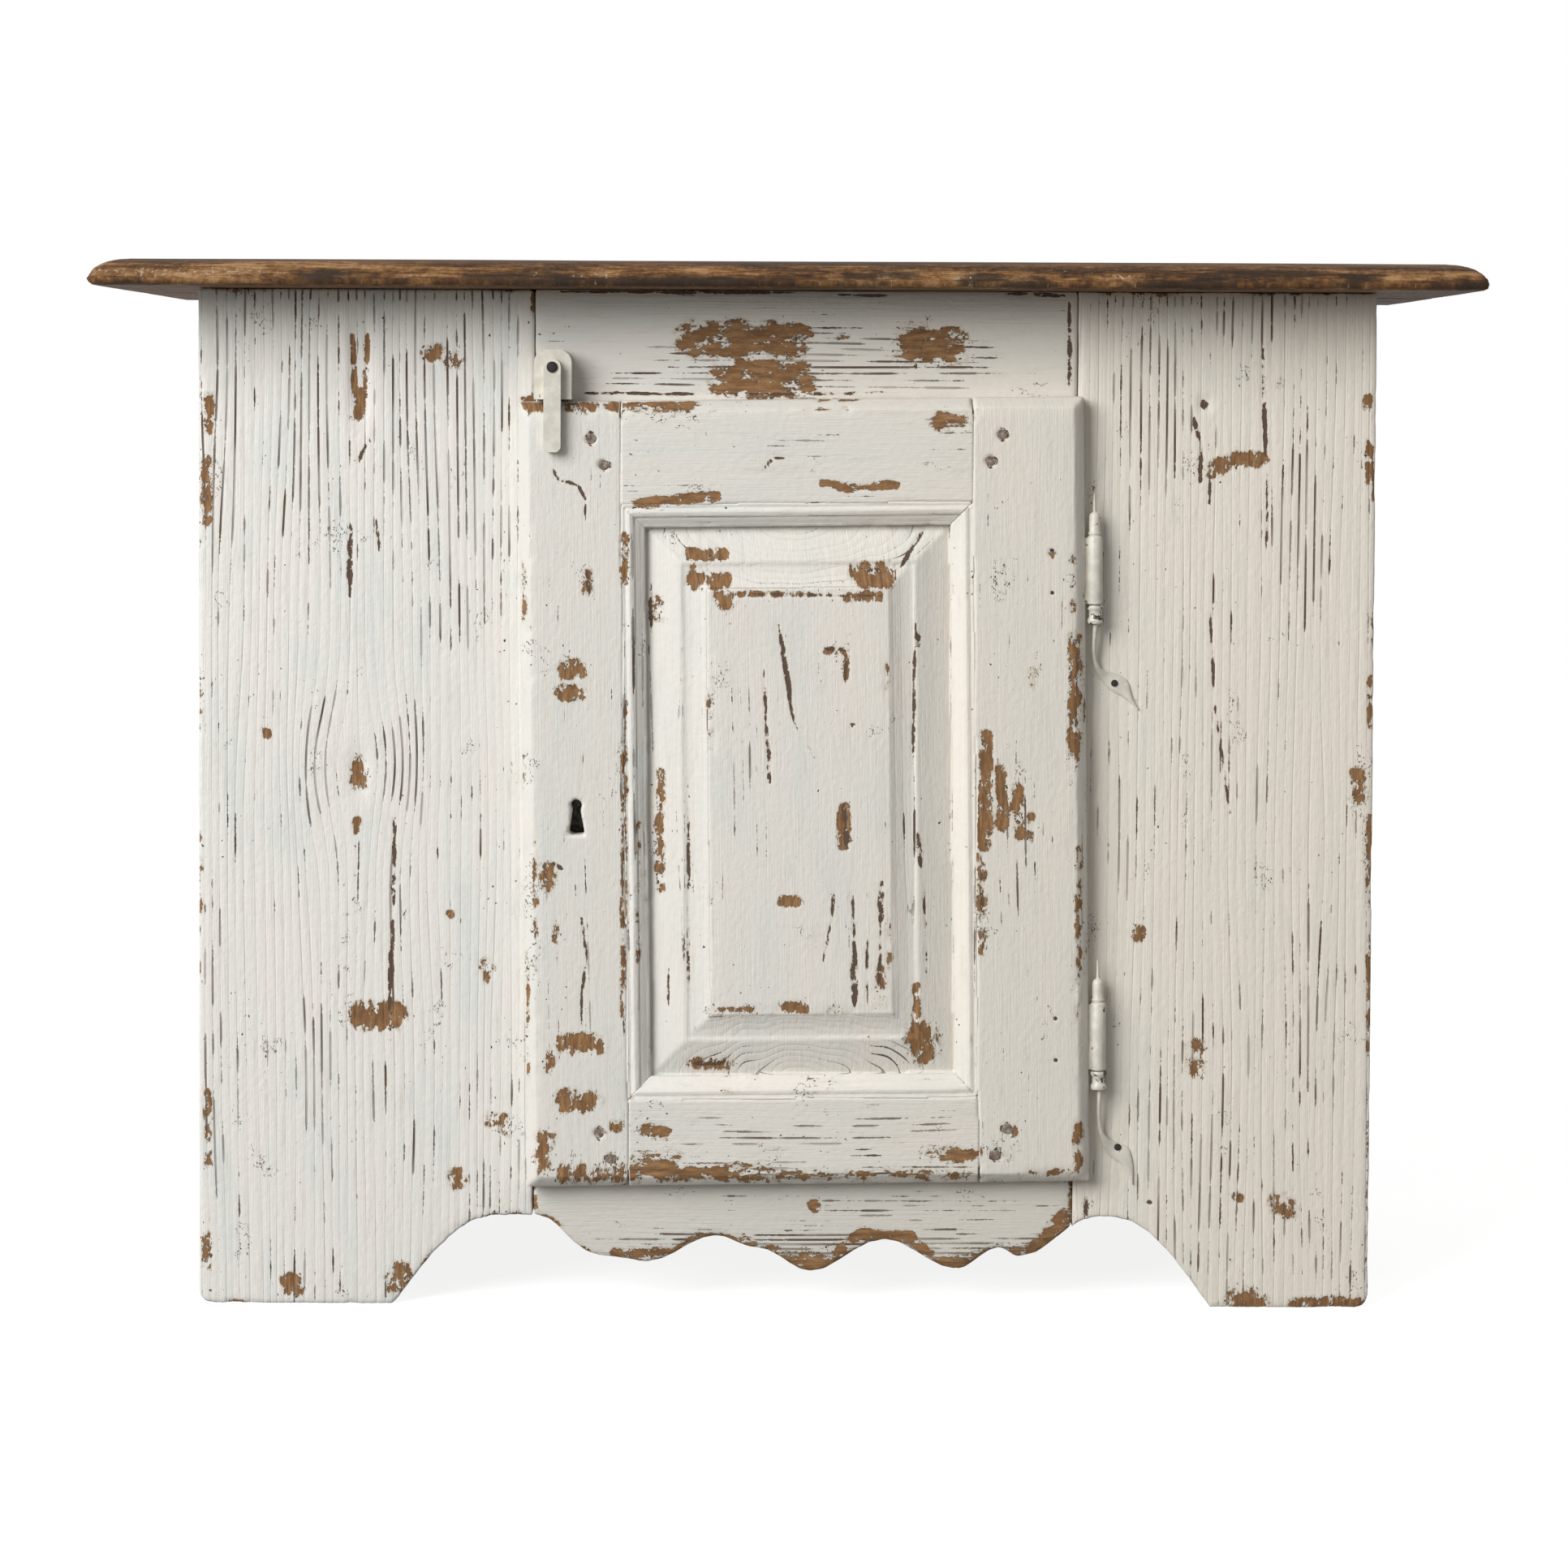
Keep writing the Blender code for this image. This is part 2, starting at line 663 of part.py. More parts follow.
def rail_levels():
    """For each rail: its stock, its tenons and its groove, as spans of z."""
    return {
        "top": (
            (INNER_TOP, DOOR_HALF + CUT_PAST),
            (INNER_TOP + DOOR_TENON_INNER, DOOR_HALF - DOOR_TENON_OUTER),
            (INNER_TOP - CUT_PAST, INNER_TOP + GROOVE_DEPTH),
        ),
        "bottom": (
            (-DOOR_HALF - CUT_PAST, INNER_BOTTOM),
            (-DOOR_HALF + DOOR_TENON_OUTER, INNER_BOTTOM - DOOR_TENON_INNER),
            (INNER_BOTTOM - GROOVE_DEPTH, INNER_BOTTOM + CUT_PAST),
        ),
    }


def door_stiles(envelope, parent):
    stock_y = (DOOR_FACE - CUT_PAST, DOOR_BACK + CUT_PAST)
    stock_z = (-DOOR_HALF - CUT_PAST, DOOR_HALF + CUT_PAST)
    groove_y = (GROOVE_FRONT, GROOVE_BACK)
    groove_z = (INNER_BOTTOM - GROOVE_DEPTH, INNER_TOP + GROOVE_DEPTH)
    groove_x = (INNER_LEFT - GROOVE_DEPTH, INNER_RIGHT + GROOVE_DEPTH)
    left = block("door_stile_left", (DOOR_FREE - CUT_PAST, INNER_LEFT), stock_y, stock_z, PAINT, parent)
    right = block("door_stile_right", (INNER_RIGHT, DOOR_EDGE + CUT_PAST), stock_y, stock_z, PAINT, parent)
    groove = block("stile_grooves", groove_x, groove_y, groove_z, parent=parent)
    for stile in (left, right):
        boolean(stile, envelope, "INTERSECT")
        cut(stile, groove)
    return left, right


def door_rails(envelope, stiles, parent):
    """The rails between the stiles, each with a tenon that is let into both stiles."""
    stock_x = (INNER_LEFT + FIT, INNER_RIGHT - FIT)
    stock_y = (DOOR_FACE - CUT_PAST, DOOR_BACK + CUT_PAST)
    tenon_x = (INNER_LEFT - DOOR_TENON_LENGTH, INNER_RIGHT + DOOR_TENON_LENGTH)
    tenon_y = (GROOVE_FRONT + FIT, GROOVE_BACK - FIT)
    groove_x = grown(stock_x, CUT_PAST)
    groove_y = (GROOVE_FRONT, GROOVE_BACK)
    rails = {}
    for name, (stock_z, tenon_z, groove_z) in rail_levels().items():
        rail = block(f"door_rail_{name}", stock_x, stock_y, stock_z, PAINT, parent)
        boolean(rail, envelope, "INTERSECT")
        join(rail, block(f"{name}_tenons", tenon_x, tenon_y, tenon_z, parent=parent))
        cut(rail, block(f"{name}_groove", groove_x, groove_y, groove_z, parent=parent))
        mortise = block(
            f"{name}_mortises", grown(tenon_x, FIT), groove_y, grown(tenon_z, FIT), parent=parent
        )
        for stile in stiles:
            cut(stile, mortise)
        rails[name] = rail
    return rails


def door_pegs(stiles, rails, parent):
    """Two pegs through each tenon, set on a slant."""
    span = (DOOR_FACE, DOOR_BACK)
    corners = {"left": (stiles[0], INNER_LEFT, -1), "right": (stiles[1], INNER_RIGHT, 1)}
    for rail_name, (_, tenon_z, _) in rail_levels().items():
        middle = sum(tenon_z) / 2
        for hand, (stile, shoulder, outward) in corners.items():
            places = {
                "outer": (shoulder + outward * PEG_FAR, middle + PEG_SPREAD / 2),
                "inner": (shoulder + outward * PEG_NEAR, middle - PEG_SPREAD / 2),
            }
            for which, (x, z) in places.items():
                name = f"door_peg_{rail_name}_{hand}_{which}"
                rod(name, PEG_RADIUS, x, span, z, PEG_SIDES, PEG_WOOD, parent)
                hole = rod(
                    name + "_hole", PEG_RADIUS + FIT, x, grown(span, CUT_PAST), z, PEG_SIDES, parent=parent
                )
                cut(stile, hole)
                cut(rails[rail_name], hole)


def door_panel(parent):
    """The raised panel: a tongue all round, a bevel, a hollow and the flat field, inset one after another."""
    reach = GROOVE_DEPTH - PANEL_SLACK
    panel = block(
        "door_panel",
        (INNER_LEFT - reach, INNER_RIGHT + reach),
        (GROOVE_FRONT + FIT, GROOVE_BACK - FIT),
        (INNER_BOTTOM - reach, INNER_TOP + reach),
        PAINT,
        parent,
    )
    angles = [math.pi / 2 * step / COVE_STEPS for step in range(COVE_STEPS + 1)]
    hollow = [(COVE_WIDTH * math.sin(a), COVE_RISE * (1 - math.cos(a))) for a in angles]
    insets = [(reach + MOULDING_WIDTH + PANEL_MARGIN, 0.0), (BEVEL_WIDTH, BEVEL_RISE)]
    insets += [(x1 - x0, y1 - y0) for (x0, y0), (x1, y1) in zip(hollow, hollow[1:])]
    insets += [(FIELD_STEP, FIELD_STEP)]
    bm = bmesh.new()
    bm.from_mesh(panel.data)
    bm.normal_update()
    field = next(face for face in bm.faces if face.normal.y < -FACING)
    for width, rise in insets:
        bmesh.ops.inset_region(bm, faces=[field], thickness=width, use_even_offset=True)
        bmesh.ops.translate(bm, vec=(0.0, -rise, 0.0), verts=field.verts)
    bm.to_mesh(panel.data)
    bm.free()


def moulding_profile(height):
    """Width from the frame's edge and height above the panel's margin: a lip, a hollow and a toe."""
    start, end = MOULDING_LIP, MOULDING_WIDTH - MOULDING_TOE
    parts = [step / MOULDING_STEPS for step in range(MOULDING_STEPS + 1)]
    fall = height - MOULDING_TOE_HEIGHT
    hollow = [(start + (end - start) * p, height - fall * math.sin(math.pi / 2 * p)) for p in parts]
    toe = [(MOULDING_WIDTH, 0.0), (MOULDING_WIDTH, MOULDING_TOE_HEIGHT)]
    return [(FIT, 0.0)] + toe + hollow[::-1] + [(FIT, height)]


def mouldings(parent):
    """Four mitred strips planted round the panel."""
    seat = GROOVE_FRONT
    profile = moulding_profile(seat - DOOR_FACE)
    middle_x = (INNER_LEFT + INNER_RIGHT) / 2
    middle_z = (INNER_BOTTOM + INNER_TOP) / 2
    width, height = INNER_RIGHT - INNER_LEFT, INNER_TOP - INNER_BOTTOM
    strips = {
        "left": (Vector((1, 0, 0)), (INNER_LEFT, seat, middle_z), height),
        "right": (Vector((-1, 0, 0)), (INNER_RIGHT, seat, middle_z), height),
        "top": (Vector((0, 0, -1)), (middle_x, seat, INNER_TOP), width),
        "bottom": (Vector((0, 0, 1)), (middle_x, seat, INNER_BOTTOM), width),
    }
    outward = Vector((0, -1, 0))
    for name, (inward, location, length) in strips.items():
        mesh = flat_mesh(f"moulding_{name}", profile, length)
        for vertex in mesh.vertices:
            vertex.co.z = math.copysign(length / 2 - vertex.co.x - FIT, vertex.co.z)
        strip = bpy.data.objects.new(f"moulding_{name}", mesh)
        axes = Matrix((inward, outward, inward.cross(outward))).transposed()
        strip.rotation_euler = axes.to_euler()
        strip.location = location
        place(strip, PAINT, parent)


# Hinges


def leaf_profile():
    """The barrel with its finial, down the outside and up its blind bore, from the barrel's middle."""
    top_z, bottom_z = BARREL_HEIGHT / 2, -BARREL_HEIGHT / 2
    ring_z = top_z + RING_HEIGHT
    neck_z = ring_z + NECK_HEIGHT
    knob_z = neck_z + KNOB_HEIGHT
    return [
        (0.0, knob_z + SPIKE_HEIGHT),
        (SPIKE_TIP_RADIUS, knob_z + SPIKE_HEIGHT - SPIKE_EASE),
        (SPIKE_FOOT_RADIUS, knob_z + SPIKE_EASE),
        (KNOB_SHOULDER, knob_z),
        (KNOB_RADIUS, knob_z - KNOB_EASE),
        (KNOB_RADIUS, neck_z + KNOB_EASE),
        (NECK_RADIUS, neck_z),
        (NECK_RADIUS, ring_z + NECK_FLARE),
        (RING_RADIUS - RING_EASE, ring_z),
        (RING_RADIUS, ring_z - RING_EASE),
        (RING_RADIUS, top_z + RING_EASE),
        (BARREL_RADIUS, top_z),
        (BARREL_RADIUS, bottom_z),
        (BARREL_BORE, bottom_z),
        (BARREL_BORE, top_z - BARREL_ROOF),
        (0.0, top_z - BARREL_ROOF),
    ]


def pintle_profile():
    """The pin and the two-beaded collar that the barrel sits on, from the barrel's middle."""
    pin_radius = BARREL_BORE - PIN_CLEARANCE
    pin_top = BARREL_HEIGHT / 2 - BARREL_ROOF - FIT
    collar_top = -BARREL_HEIGHT / 2 - FIT
    collar_bottom = collar_top - COLLAR_HEIGHT
    lower_bead = collar_bottom + COLLAR_EASE
    return [
        (0.0, pin_top),
        (pin_radius - PIN_EASE, pin_top),
        (pin_radius, pin_top - PIN_EASE),
        (pin_radius, collar_top),
        (BARREL_RADIUS, collar_top),
        (BARREL_RADIUS, collar_top - COLLAR_BEAD),
        (COLLAR_WAIST, collar_top - COLLAR_BEAD - COLLAR_EASE),
        (COLLAR_WAIST, lower_bead + COLLAR_BEAD + COLLAR_EASE),
        (BARREL_RADIUS, lower_bead + COLLAR_BEAD),
        (BARREL_RADIUS, lower_bead),
        (COLLAR_FOOT, collar_bottom),
        (0.0, collar_bottom),
    ]


def nail_profile(radius, length, head_radius, head_height):
    """A nail or screw whose head stands above zero and whose shank runs down from it."""
    return [
        (0.0, head_height),
        (head_radius * CROWN_RADIUS_SHARE, head_height * CROWN_HEIGHT_SHARE),
        (head_radius, head_height * HEAD_RIM_SHARE),
        (head_radius, 0.0),
        (radius, 0.0),
        (radius, -length * SHANK_SHARE),
        (0.0, -length),
    ]


def tail_route(seat):
    """Points of the rat tail and its thickness: straight down, over to the plank, then out to its tip."""
    route = [(0.0, 0.0, TAIL_RADIUS, 1.0)]
    for step in range(TAIL_STEPS + 1):
        part = step / TAIL_STEPS
        near = min(1.0, part / TAIL_SEATED)
        drop = TAIL_STRAIGHT + (TAIL_PAD_DROP - TAIL_STRAIGHT) * part
        route.append((TAIL_PAD_X * part**2, seat * near * near * (3 - 2 * near), -drop, 1.0))
    for part, thickness in TAIL_TAPER:
        x = TAIL_PAD_X + (TAIL_TIP_X - TAIL_PAD_X) * part
        drop = TAIL_PAD_DROP + (TAIL_TIP_DROP - TAIL_PAD_DROP) * part
        route.append((x, seat, -drop, thickness))
    return route


def tail_mesh(name, start_z):
    """The rat tail as a rod along its route."""
    route = tail_route(HINGE_STANDOFF - 2 * FIT - TAIL_RADIUS)
    curve = bpy.data.curves.new(name, "CURVE")
    curve.dimensions = "3D"
    curve.bevel_depth = TAIL_RADIUS
    curve.bevel_resolution = TAIL_ROUND_STEPS
    curve.use_fill_caps = True
    spline = curve.splines.new("POLY")
    spline.points.add(len(route) - 1)
    for point, (x, y, rise, thickness) in zip(spline.points, route):
        point.co = (x, y, start_z + rise, 1.0)
        point.radius = thickness
    return solid_from_curve(name, curve)


def hinge_leaf(which, level, stile, parent):
    """The door's half: a barrel with a finial, and a plate pinned in a slot in the stile's edge."""
    name = f"hinge_leaf_{which}"
    leaf = turned(name, leaf_profile(), (0.0, 0.0, level), WORN_IRON, parent)
    plate_x = (DOOR_EDGE - LEAF_LENGTH, -LEAF_ROOT)
    plate_y = (-LEAF_THICKNESS / 2, LEAF_THICKNESS / 2)
    plate_z = (level - LEAF_HEIGHT / 2, level + LEAF_HEIGHT / 2)
    join(leaf, block(name + "_plate", plate_x, plate_y, plate_z, parent=parent))
    slot_x = (plate_x[0] - FIT, DOOR_EDGE + CUT_PAST)
    cut(stile, block(name + "_slot", slot_x, grown(plate_y, FIT), grown(plate_z, FIT), parent=parent))
    span = (DOOR_FACE, DOOR_BACK)
    pin_x = DOOR_EDGE - LEAF_PIN_INSET
    for end, side in (("top", 1), ("bottom", -1)):
        pin_z = level + side * LEAF_PIN_SPACING / 2
        pin_name = f"hinge_pin_{which}_{end}"
        rod(pin_name, LEAF_PIN_RADIUS, pin_x, span, pin_z, LEAF_PIN_SIDES, IRON, parent)
        hole = rod(
            pin_name + "_hole",
            LEAF_PIN_RADIUS + FIT,
            pin_x,
            grown(span, CUT_PAST),
            pin_z,
            LEAF_PIN_SIDES,
            parent=parent,
        )
        cut(leaf, hole)
        cut(stile, hole)


def hinge_pintle(which, level, plank, parent):
    """The body's half: a pin and collar with a rat tail that is nailed to the plank."""
    name = f"hinge_pintle_{which}"
    pintle = turned(name, pintle_profile(), (0.0, 0.0, level), IRON, parent)
    tail_start = level - BARREL_HEIGHT / 2 - FIT - COLLAR_HEIGHT
    tail = bpy.data.objects.new(name + "_tail", tail_mesh(name + "_tail", tail_start))
    place(tail, None, parent)
    pad_z = tail_start - TAIL_PAD_DROP
    pad_y = (HINGE_STANDOFF - FIT - PAD_THICKNESS, HINGE_STANDOFF - FIT)
    pad = rod(name + "_pad", PAD_RADIUS, TAIL_PAD_X, pad_y, pad_z, PEG_SIDES, parent=parent)
    join(pintle, tail, pad)
    head_y = HINGE_STANDOFF - 3 * FIT - 2 * TAIL_RADIUS
    nail = nail_profile(NAIL_RADIUS, NAIL_LENGTH, NAIL_HEAD_RADIUS, NAIL_HEAD_HEIGHT)
    facing = (math.pi / 2, 0.0, 0.0)
    turned(f"hinge_nail_{which}", nail, (TAIL_PAD_X, head_y, pad_z), IRON, parent, facing)
    hole_y = (head_y - CUT_PAST, head_y + NAIL_LENGTH + FIT)
    hole = rod(name + "_hole", NAIL_RADIUS + FIT, TAIL_PAD_X, hole_y, pad_z, TURNED_STEPS, parent=parent)
    cut(pintle, hole)
    cut(plank, hole)


# Turn button


def turn_button(top_rail, plank):
    """A bar on a block beside the door's top edge, hanging across the door from its screw."""
    door_top = DOOR_FRAME @ Vector((BUTTON_X - HINGE_X, 0.0, DOOR_HALF))
    bottom = door_top.z + BUTTON_DOOR_GAP
    top_z = bottom + BUTTON_BLOCK_HEIGHT
    pivot_z = top_z - BUTTON_PIVOT_DROP
    left, right = BUTTON_X - BUTTON_BLOCK_WIDTH / 2, BUTTON_X + BUTTON_BLOCK_WIDTH / 2
    corner = BUTTON_BLOCK_ROUND
    outline = [(left, bottom), (right, bottom)]
    outline += arc((right - corner, top_z - corner), corner, 0, 90, EDGE_STEPS)
    outline += arc((left + corner, top_z - corner), corner, 90, 180, EDGE_STEPS)
    bar_back = FRONT_Y - FIT - DOOR_THICKNESS - BUTTON_FACE_GAP
    carrier = front_board("button_block", outline, (bar_back + FIT, FRONT_Y - FIT), PAINT)
    half = BUTTON_WIDTH / 2
    foot = BUTTON_HEAD - BUTTON_LENGTH
    bar_outline = arc((0.0, 0.0), half, 0, 180, 2 * EDGE_STEPS)
    toe, heel = half - BUTTON_FOOT_CUT, foot + BUTTON_FOOT_CUT
    bar_outline += [(-half, heel), (-toe, foot), (toe, foot), (half, heel)]
    bar = bpy.data.objects.new("turn_button", flat_mesh("turn_button", bar_outline, BUTTON_THICKNESS))
    bar.rotation_euler = (math.pi / 2, 0.0, 0.0)
    bar.location = (BUTTON_X, bar_back - BUTTON_THICKNESS / 2, pivot_z)
    place(bar, PAINT, None)
    bar_face = bar_back - BUTTON_THICKNESS
    length = FRONT_Y - bar_face + BUTTON_SCREW_BITE
    profile = nail_profile(BUTTON_SCREW_RADIUS, length, NAIL_HEAD_RADIUS, NAIL_HEAD_HEIGHT)
    head = (BUTTON_X, bar_face - FIT, pivot_z)
    turned("button_screw", profile, head, IRON, None, (math.pi / 2, 0.0, 0.0))
    hole_y = (bar_face - CUT_PAST, bar_face + length + FIT)
    hole = rod("button_hole", BUTTON_SCREW_RADIUS + FIT, BUTTON_X, hole_y, pivot_z, TURNED_STEPS)
    for piece in (bar, carrier, top_rail, plank):
        cut(piece, hole)


# Lock


def keyhole(stile, parent):
    """A round head over a foot that flares downwards, through the stile."""
    x = DOOR_FREE + KEYHOLE_INSET
    head_z = KEYHOLE_LEVEL + KEYHOLE_HEIGHT / 2 - KEYHOLE_RADIUS
    foot_z = KEYHOLE_LEVEL - KEYHOLE_HEIGHT / 2
    outline = [(x - KEYHOLE_FOOT / 2, foot_z), (x + KEYHOLE_FOOT / 2, foot_z)]
    outline += arc((x, head_z), KEYHOLE_RADIUS, -KEYHOLE_NECK_ANGLE, 180 + KEYHOLE_NECK_ANGLE, KEYHOLE_STEPS)
    span = (DOOR_FACE - CUT_PAST, DOOR_BACK + CUT_PAST)
    cut(stile, front_board("keyhole_cutter", outline, span, parent=parent))


def lock(stile, plank, parent):
    """A rim lock on the door's back, whose bolt slides out into a pocket in the left plank."""
    left = DOOR_FREE + DOOR_LAP + LOCK_EDGE_GAP
    right = left + LOCK_WIDTH
    base = DOOR_BACK + FIT
    case_middle = KEYHOLE_LEVEL + LOCK_RISE
    case_z = (case_middle - LOCK_HEIGHT / 2, case_middle + LOCK_HEIGHT / 2)
    bolt_z = (KEYHOLE_LEVEL + BOLT_RISE, KEYHOLE_LEVEL + BOLT_RISE + BOLT_HEIGHT)
    bolt_y = (base + BOLT_SETBACK, base + BOLT_SETBACK + BOLT_THICKNESS)
    bolt_middle = sum(bolt_z) / 2
    case = block("lock_case", (left, right), (base, base + LOCK_DEPTH), case_z, IRON, parent)
    hollow = block(
        "lock_hollow",
        (left + LOCK_WALL, right - LOCK_WALL),
        (base - CUT_PAST, base + LOCK_DEPTH - LOCK_WALL),
        grown(case_z, -LOCK_WALL),
        parent=parent,
    )
    cut(case, hollow)
    stump_x = left + STUMP_INSET
    stump_y = (base + FIT, base + LOCK_DEPTH - LOCK_WALL / 2)
    join(case, rod("lock_stump", STUMP_RADIUS, stump_x, stump_y, bolt_middle, PEG_SIDES, parent=parent))
    mouth_x = (left - CUT_PAST, left + LOCK_WALL + CUT_PAST)
    cut(case, block("lock_mouth", mouth_x, grown(bolt_y, FIT), grown(bolt_z, FIT), parent=parent))
    lug_x = ((left + right - LUG_WIDTH) / 2, (left + right + LUG_WIDTH) / 2)
    lugs = {
        "top": (case_z[1] - LOCK_WALL / 2, case_z[1] + LUG_HEIGHT),
        "bottom": (case_z[0] - LUG_HEIGHT, case_z[0] + LOCK_WALL / 2),
    }
    profile = nail_profile(
        LOCK_SCREW_RADIUS, LOCK_SCREW_LENGTH, LOCK_SCREW_HEAD_RADIUS, LOCK_SCREW_HEAD_HEIGHT
    )
    for end, lug_z in lugs.items():
        lug_y = (base, base + LOCK_WALL)
        join(case, block(f"lock_lug_{end}", lug_x, lug_y, lug_z, parent=parent))
        screw_x, screw_z = sum(lug_x) / 2, sum(lug_z) / 2
        head_y = lug_y[1] + FIT
        facing = (-math.pi / 2, 0.0, 0.0)
        turned(f"lock_screw_{end}", profile, (screw_x, head_y, screw_z), IRON, parent, facing)
        hole_y = (head_y - LOCK_SCREW_LENGTH - FIT, head_y + CUT_PAST)
        hole = rod(
            f"lock_hole_{end}",
            LOCK_SCREW_RADIUS + FIT,
            screw_x,
            hole_y,
            screw_z,
            TURNED_STEPS,
            parent=parent,
        )
        cut(case, hole)
        cut(stile, hole)
    bolt = block("lock_bolt", (left, left + BOLT_LENGTH), bolt_y, bolt_z, WORN_IRON, parent)
    slot_x = (stump_x - STUMP_RADIUS - FIT, stump_x + STUMP_RADIUS + BOLT_THROW + FIT)
    slot_z = (bolt_middle - STUMP_RADIUS - FIT, bolt_middle + STUMP_RADIUS + FIT)
    cut(bolt, block("bolt_slot", slot_x, grown(bolt_y, CUT_PAST), slot_z, parent=parent))
    strike(plank, left, bolt_y, bolt_z)


def strike(plank, bolt_end, bolt_y, bolt_z):
    """An iron plate let into the plank's edge, with a pocket behind it for the bolt."""
    low = DOOR_FRAME @ Vector((bolt_end, bolt_y[0], bolt_z[0]))
    high = DOOR_FRAME @ Vector((bolt_end, bolt_y[1], bolt_z[1]))
    pocket_y = grown((low.y, high.y), BOLT_POCKET_GAP)
    pocket_z = grown((low.z, high.z), BOLT_POCKET_GAP)
    past = OPENING_LEFT + CUT_PAST
    pocket = block("bolt_pocket", (OPENING_LEFT - BOLT_POCKET_DEPTH, past), pocket_y, pocket_z)
    plate_y = grown(pocket_y, STRIKE_MARGIN)
    plate_z = grown(pocket_z, STRIKE_LUG)
    plate_x = (OPENING_LEFT - STRIKE_THICKNESS, OPENING_LEFT)
    plate = block("strike_plate", plate_x, plate_y, plate_z, IRON)
    recess_x = (plate_x[0] - FIT, past)
    recess = block("strike_recess", recess_x, grown(plate_y, FIT), grown(plate_z, FIT))
    cut(plank, recess, pocket)
    cut(plate, pocket)


def build():
    hinge_line = frame_empty("hinge_line", DOOR_FRAME)
    door = frame_empty("door", DOOR_FRAME)
    left_plank, right_plank = front_planks()
    top_rail = front_rails((left_plank, right_plank))
    sides()
    back_boards()
    inside()
    top()
    envelope = door_envelope(door)
    stiles = door_stiles(envelope, door)
    rails = door_rails(envelope, stiles, door)
    door_pegs(stiles, rails, door)
    door_panel(door)
    mouldings(door)
    for which, level in HINGE_LEVELS.items():
        hinge_leaf(which, level, stiles[1], door)
        hinge_pintle(which, level, right_plank, hinge_line)
    keyhole(stiles[0], door)
    lock(stiles[0], left_plank, door)
    turn_button(top_rail, left_plank)


build()
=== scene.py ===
"""Looks of the buffet cabinet: worn white paint on ridged pine, a bare dark top and painted iron."""
import json
import math
from dataclasses import dataclass, replace

import bmesh
import bpy
import numpy as np
from mathutils import Matrix, Vector
from mathutils.kdtree import KDTree


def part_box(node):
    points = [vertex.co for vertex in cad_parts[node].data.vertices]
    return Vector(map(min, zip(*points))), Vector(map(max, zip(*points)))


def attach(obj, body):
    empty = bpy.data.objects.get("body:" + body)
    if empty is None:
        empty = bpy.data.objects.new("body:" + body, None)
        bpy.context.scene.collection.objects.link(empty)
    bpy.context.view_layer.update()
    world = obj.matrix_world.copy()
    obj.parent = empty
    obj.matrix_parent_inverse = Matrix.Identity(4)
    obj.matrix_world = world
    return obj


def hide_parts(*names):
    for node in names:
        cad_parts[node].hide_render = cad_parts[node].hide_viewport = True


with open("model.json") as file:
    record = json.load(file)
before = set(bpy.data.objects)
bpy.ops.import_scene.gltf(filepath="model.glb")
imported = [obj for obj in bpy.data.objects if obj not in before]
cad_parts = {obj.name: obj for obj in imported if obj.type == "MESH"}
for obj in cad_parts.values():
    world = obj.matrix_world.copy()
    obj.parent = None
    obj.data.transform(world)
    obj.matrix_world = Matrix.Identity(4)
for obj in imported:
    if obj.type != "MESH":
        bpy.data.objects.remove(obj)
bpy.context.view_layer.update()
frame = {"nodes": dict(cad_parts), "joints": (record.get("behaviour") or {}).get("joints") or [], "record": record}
NODES = frame["nodes"]
JOINTS = {joint["name"]: joint for joint in frame["joints"]}
BODY_OF = {node: body for body, nodes in frame["record"]["behaviour"]["bodies"].items() for node in nodes}

# Camera: the photograph's frame in pixels, and where it was taken from
PHOTO_SIZE = 1932.0
FOCAL_PIXELS = 5200.0
SENSOR_MM = 36.0
CAMERA_PLACE = Vector((-0.002, -3.4085, 0.700))
CAMERA_TILT = math.radians(2.08)
CAMERA_ROLL = math.radians(0.254)
CAMERA_SHIFT = -0.15

# The photograph's door leans more than the model's: a share of the pixels below its top edge
DOOR_LEAN = 0.008
LEAN_TOP = 500.0

# Planes that the photograph's marks lie on
FRONT_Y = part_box("front_plank_left")[0].y
DOOR_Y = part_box("door_stile_left")[0].y
PANEL_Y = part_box("door_panel")[0].y
TOP_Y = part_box("top_board_front")[0].y

# The door hangs a little out of true: its own upright is the hinge's axis
HINGE_POINT = Vector(JOINTS["door_swing"]["pos_m"])
HINGE_AXIS = Vector(JOINTS["door_swing"]["axis"])
DOOR_HANG = math.atan2(-HINGE_AXIS.x, HINGE_AXIS.z)

FRONT = (0.0, -1.0, 0.0)
LEFT = (-1.0, 0.0, 0.0)
RIGHT = (1.0, 0.0, 0.0)
BACK = (0.0, 1.0, 0.0)
WHITE = (1.0, 1.0, 1.0, 1.0)
SAME_PLACE = 1e-6


def camera_axes():
    """The camera's right, up and forward directions."""
    right = Vector((1.0, 0.0, 0.0))
    forward = Vector((0.0, math.cos(CAMERA_TILT), -math.sin(CAMERA_TILT)))
    up = right.cross(forward)
    cos_roll, sin_roll = math.cos(CAMERA_ROLL), math.sin(CAMERA_ROLL)
    return right * cos_roll + up * sin_roll, up * cos_roll - right * sin_roll, forward


def make_camera():
    right, up, forward = camera_axes()
    data = bpy.data.cameras.new("camera")
    data.sensor_width = SENSOR_MM
    data.lens = FOCAL_PIXELS / PHOTO_SIZE * SENSOR_MM
    data.shift_y = CAMERA_SHIFT
    camera = bpy.data.objects.new("camera", data)
    turn = Matrix((right, up, -forward)).transposed().to_4x4()
    camera.matrix_world = Matrix.Translation(CAMERA_PLACE) @ turn
    bpy.context.scene.collection.objects.link(camera)
    bpy.context.scene.camera = camera


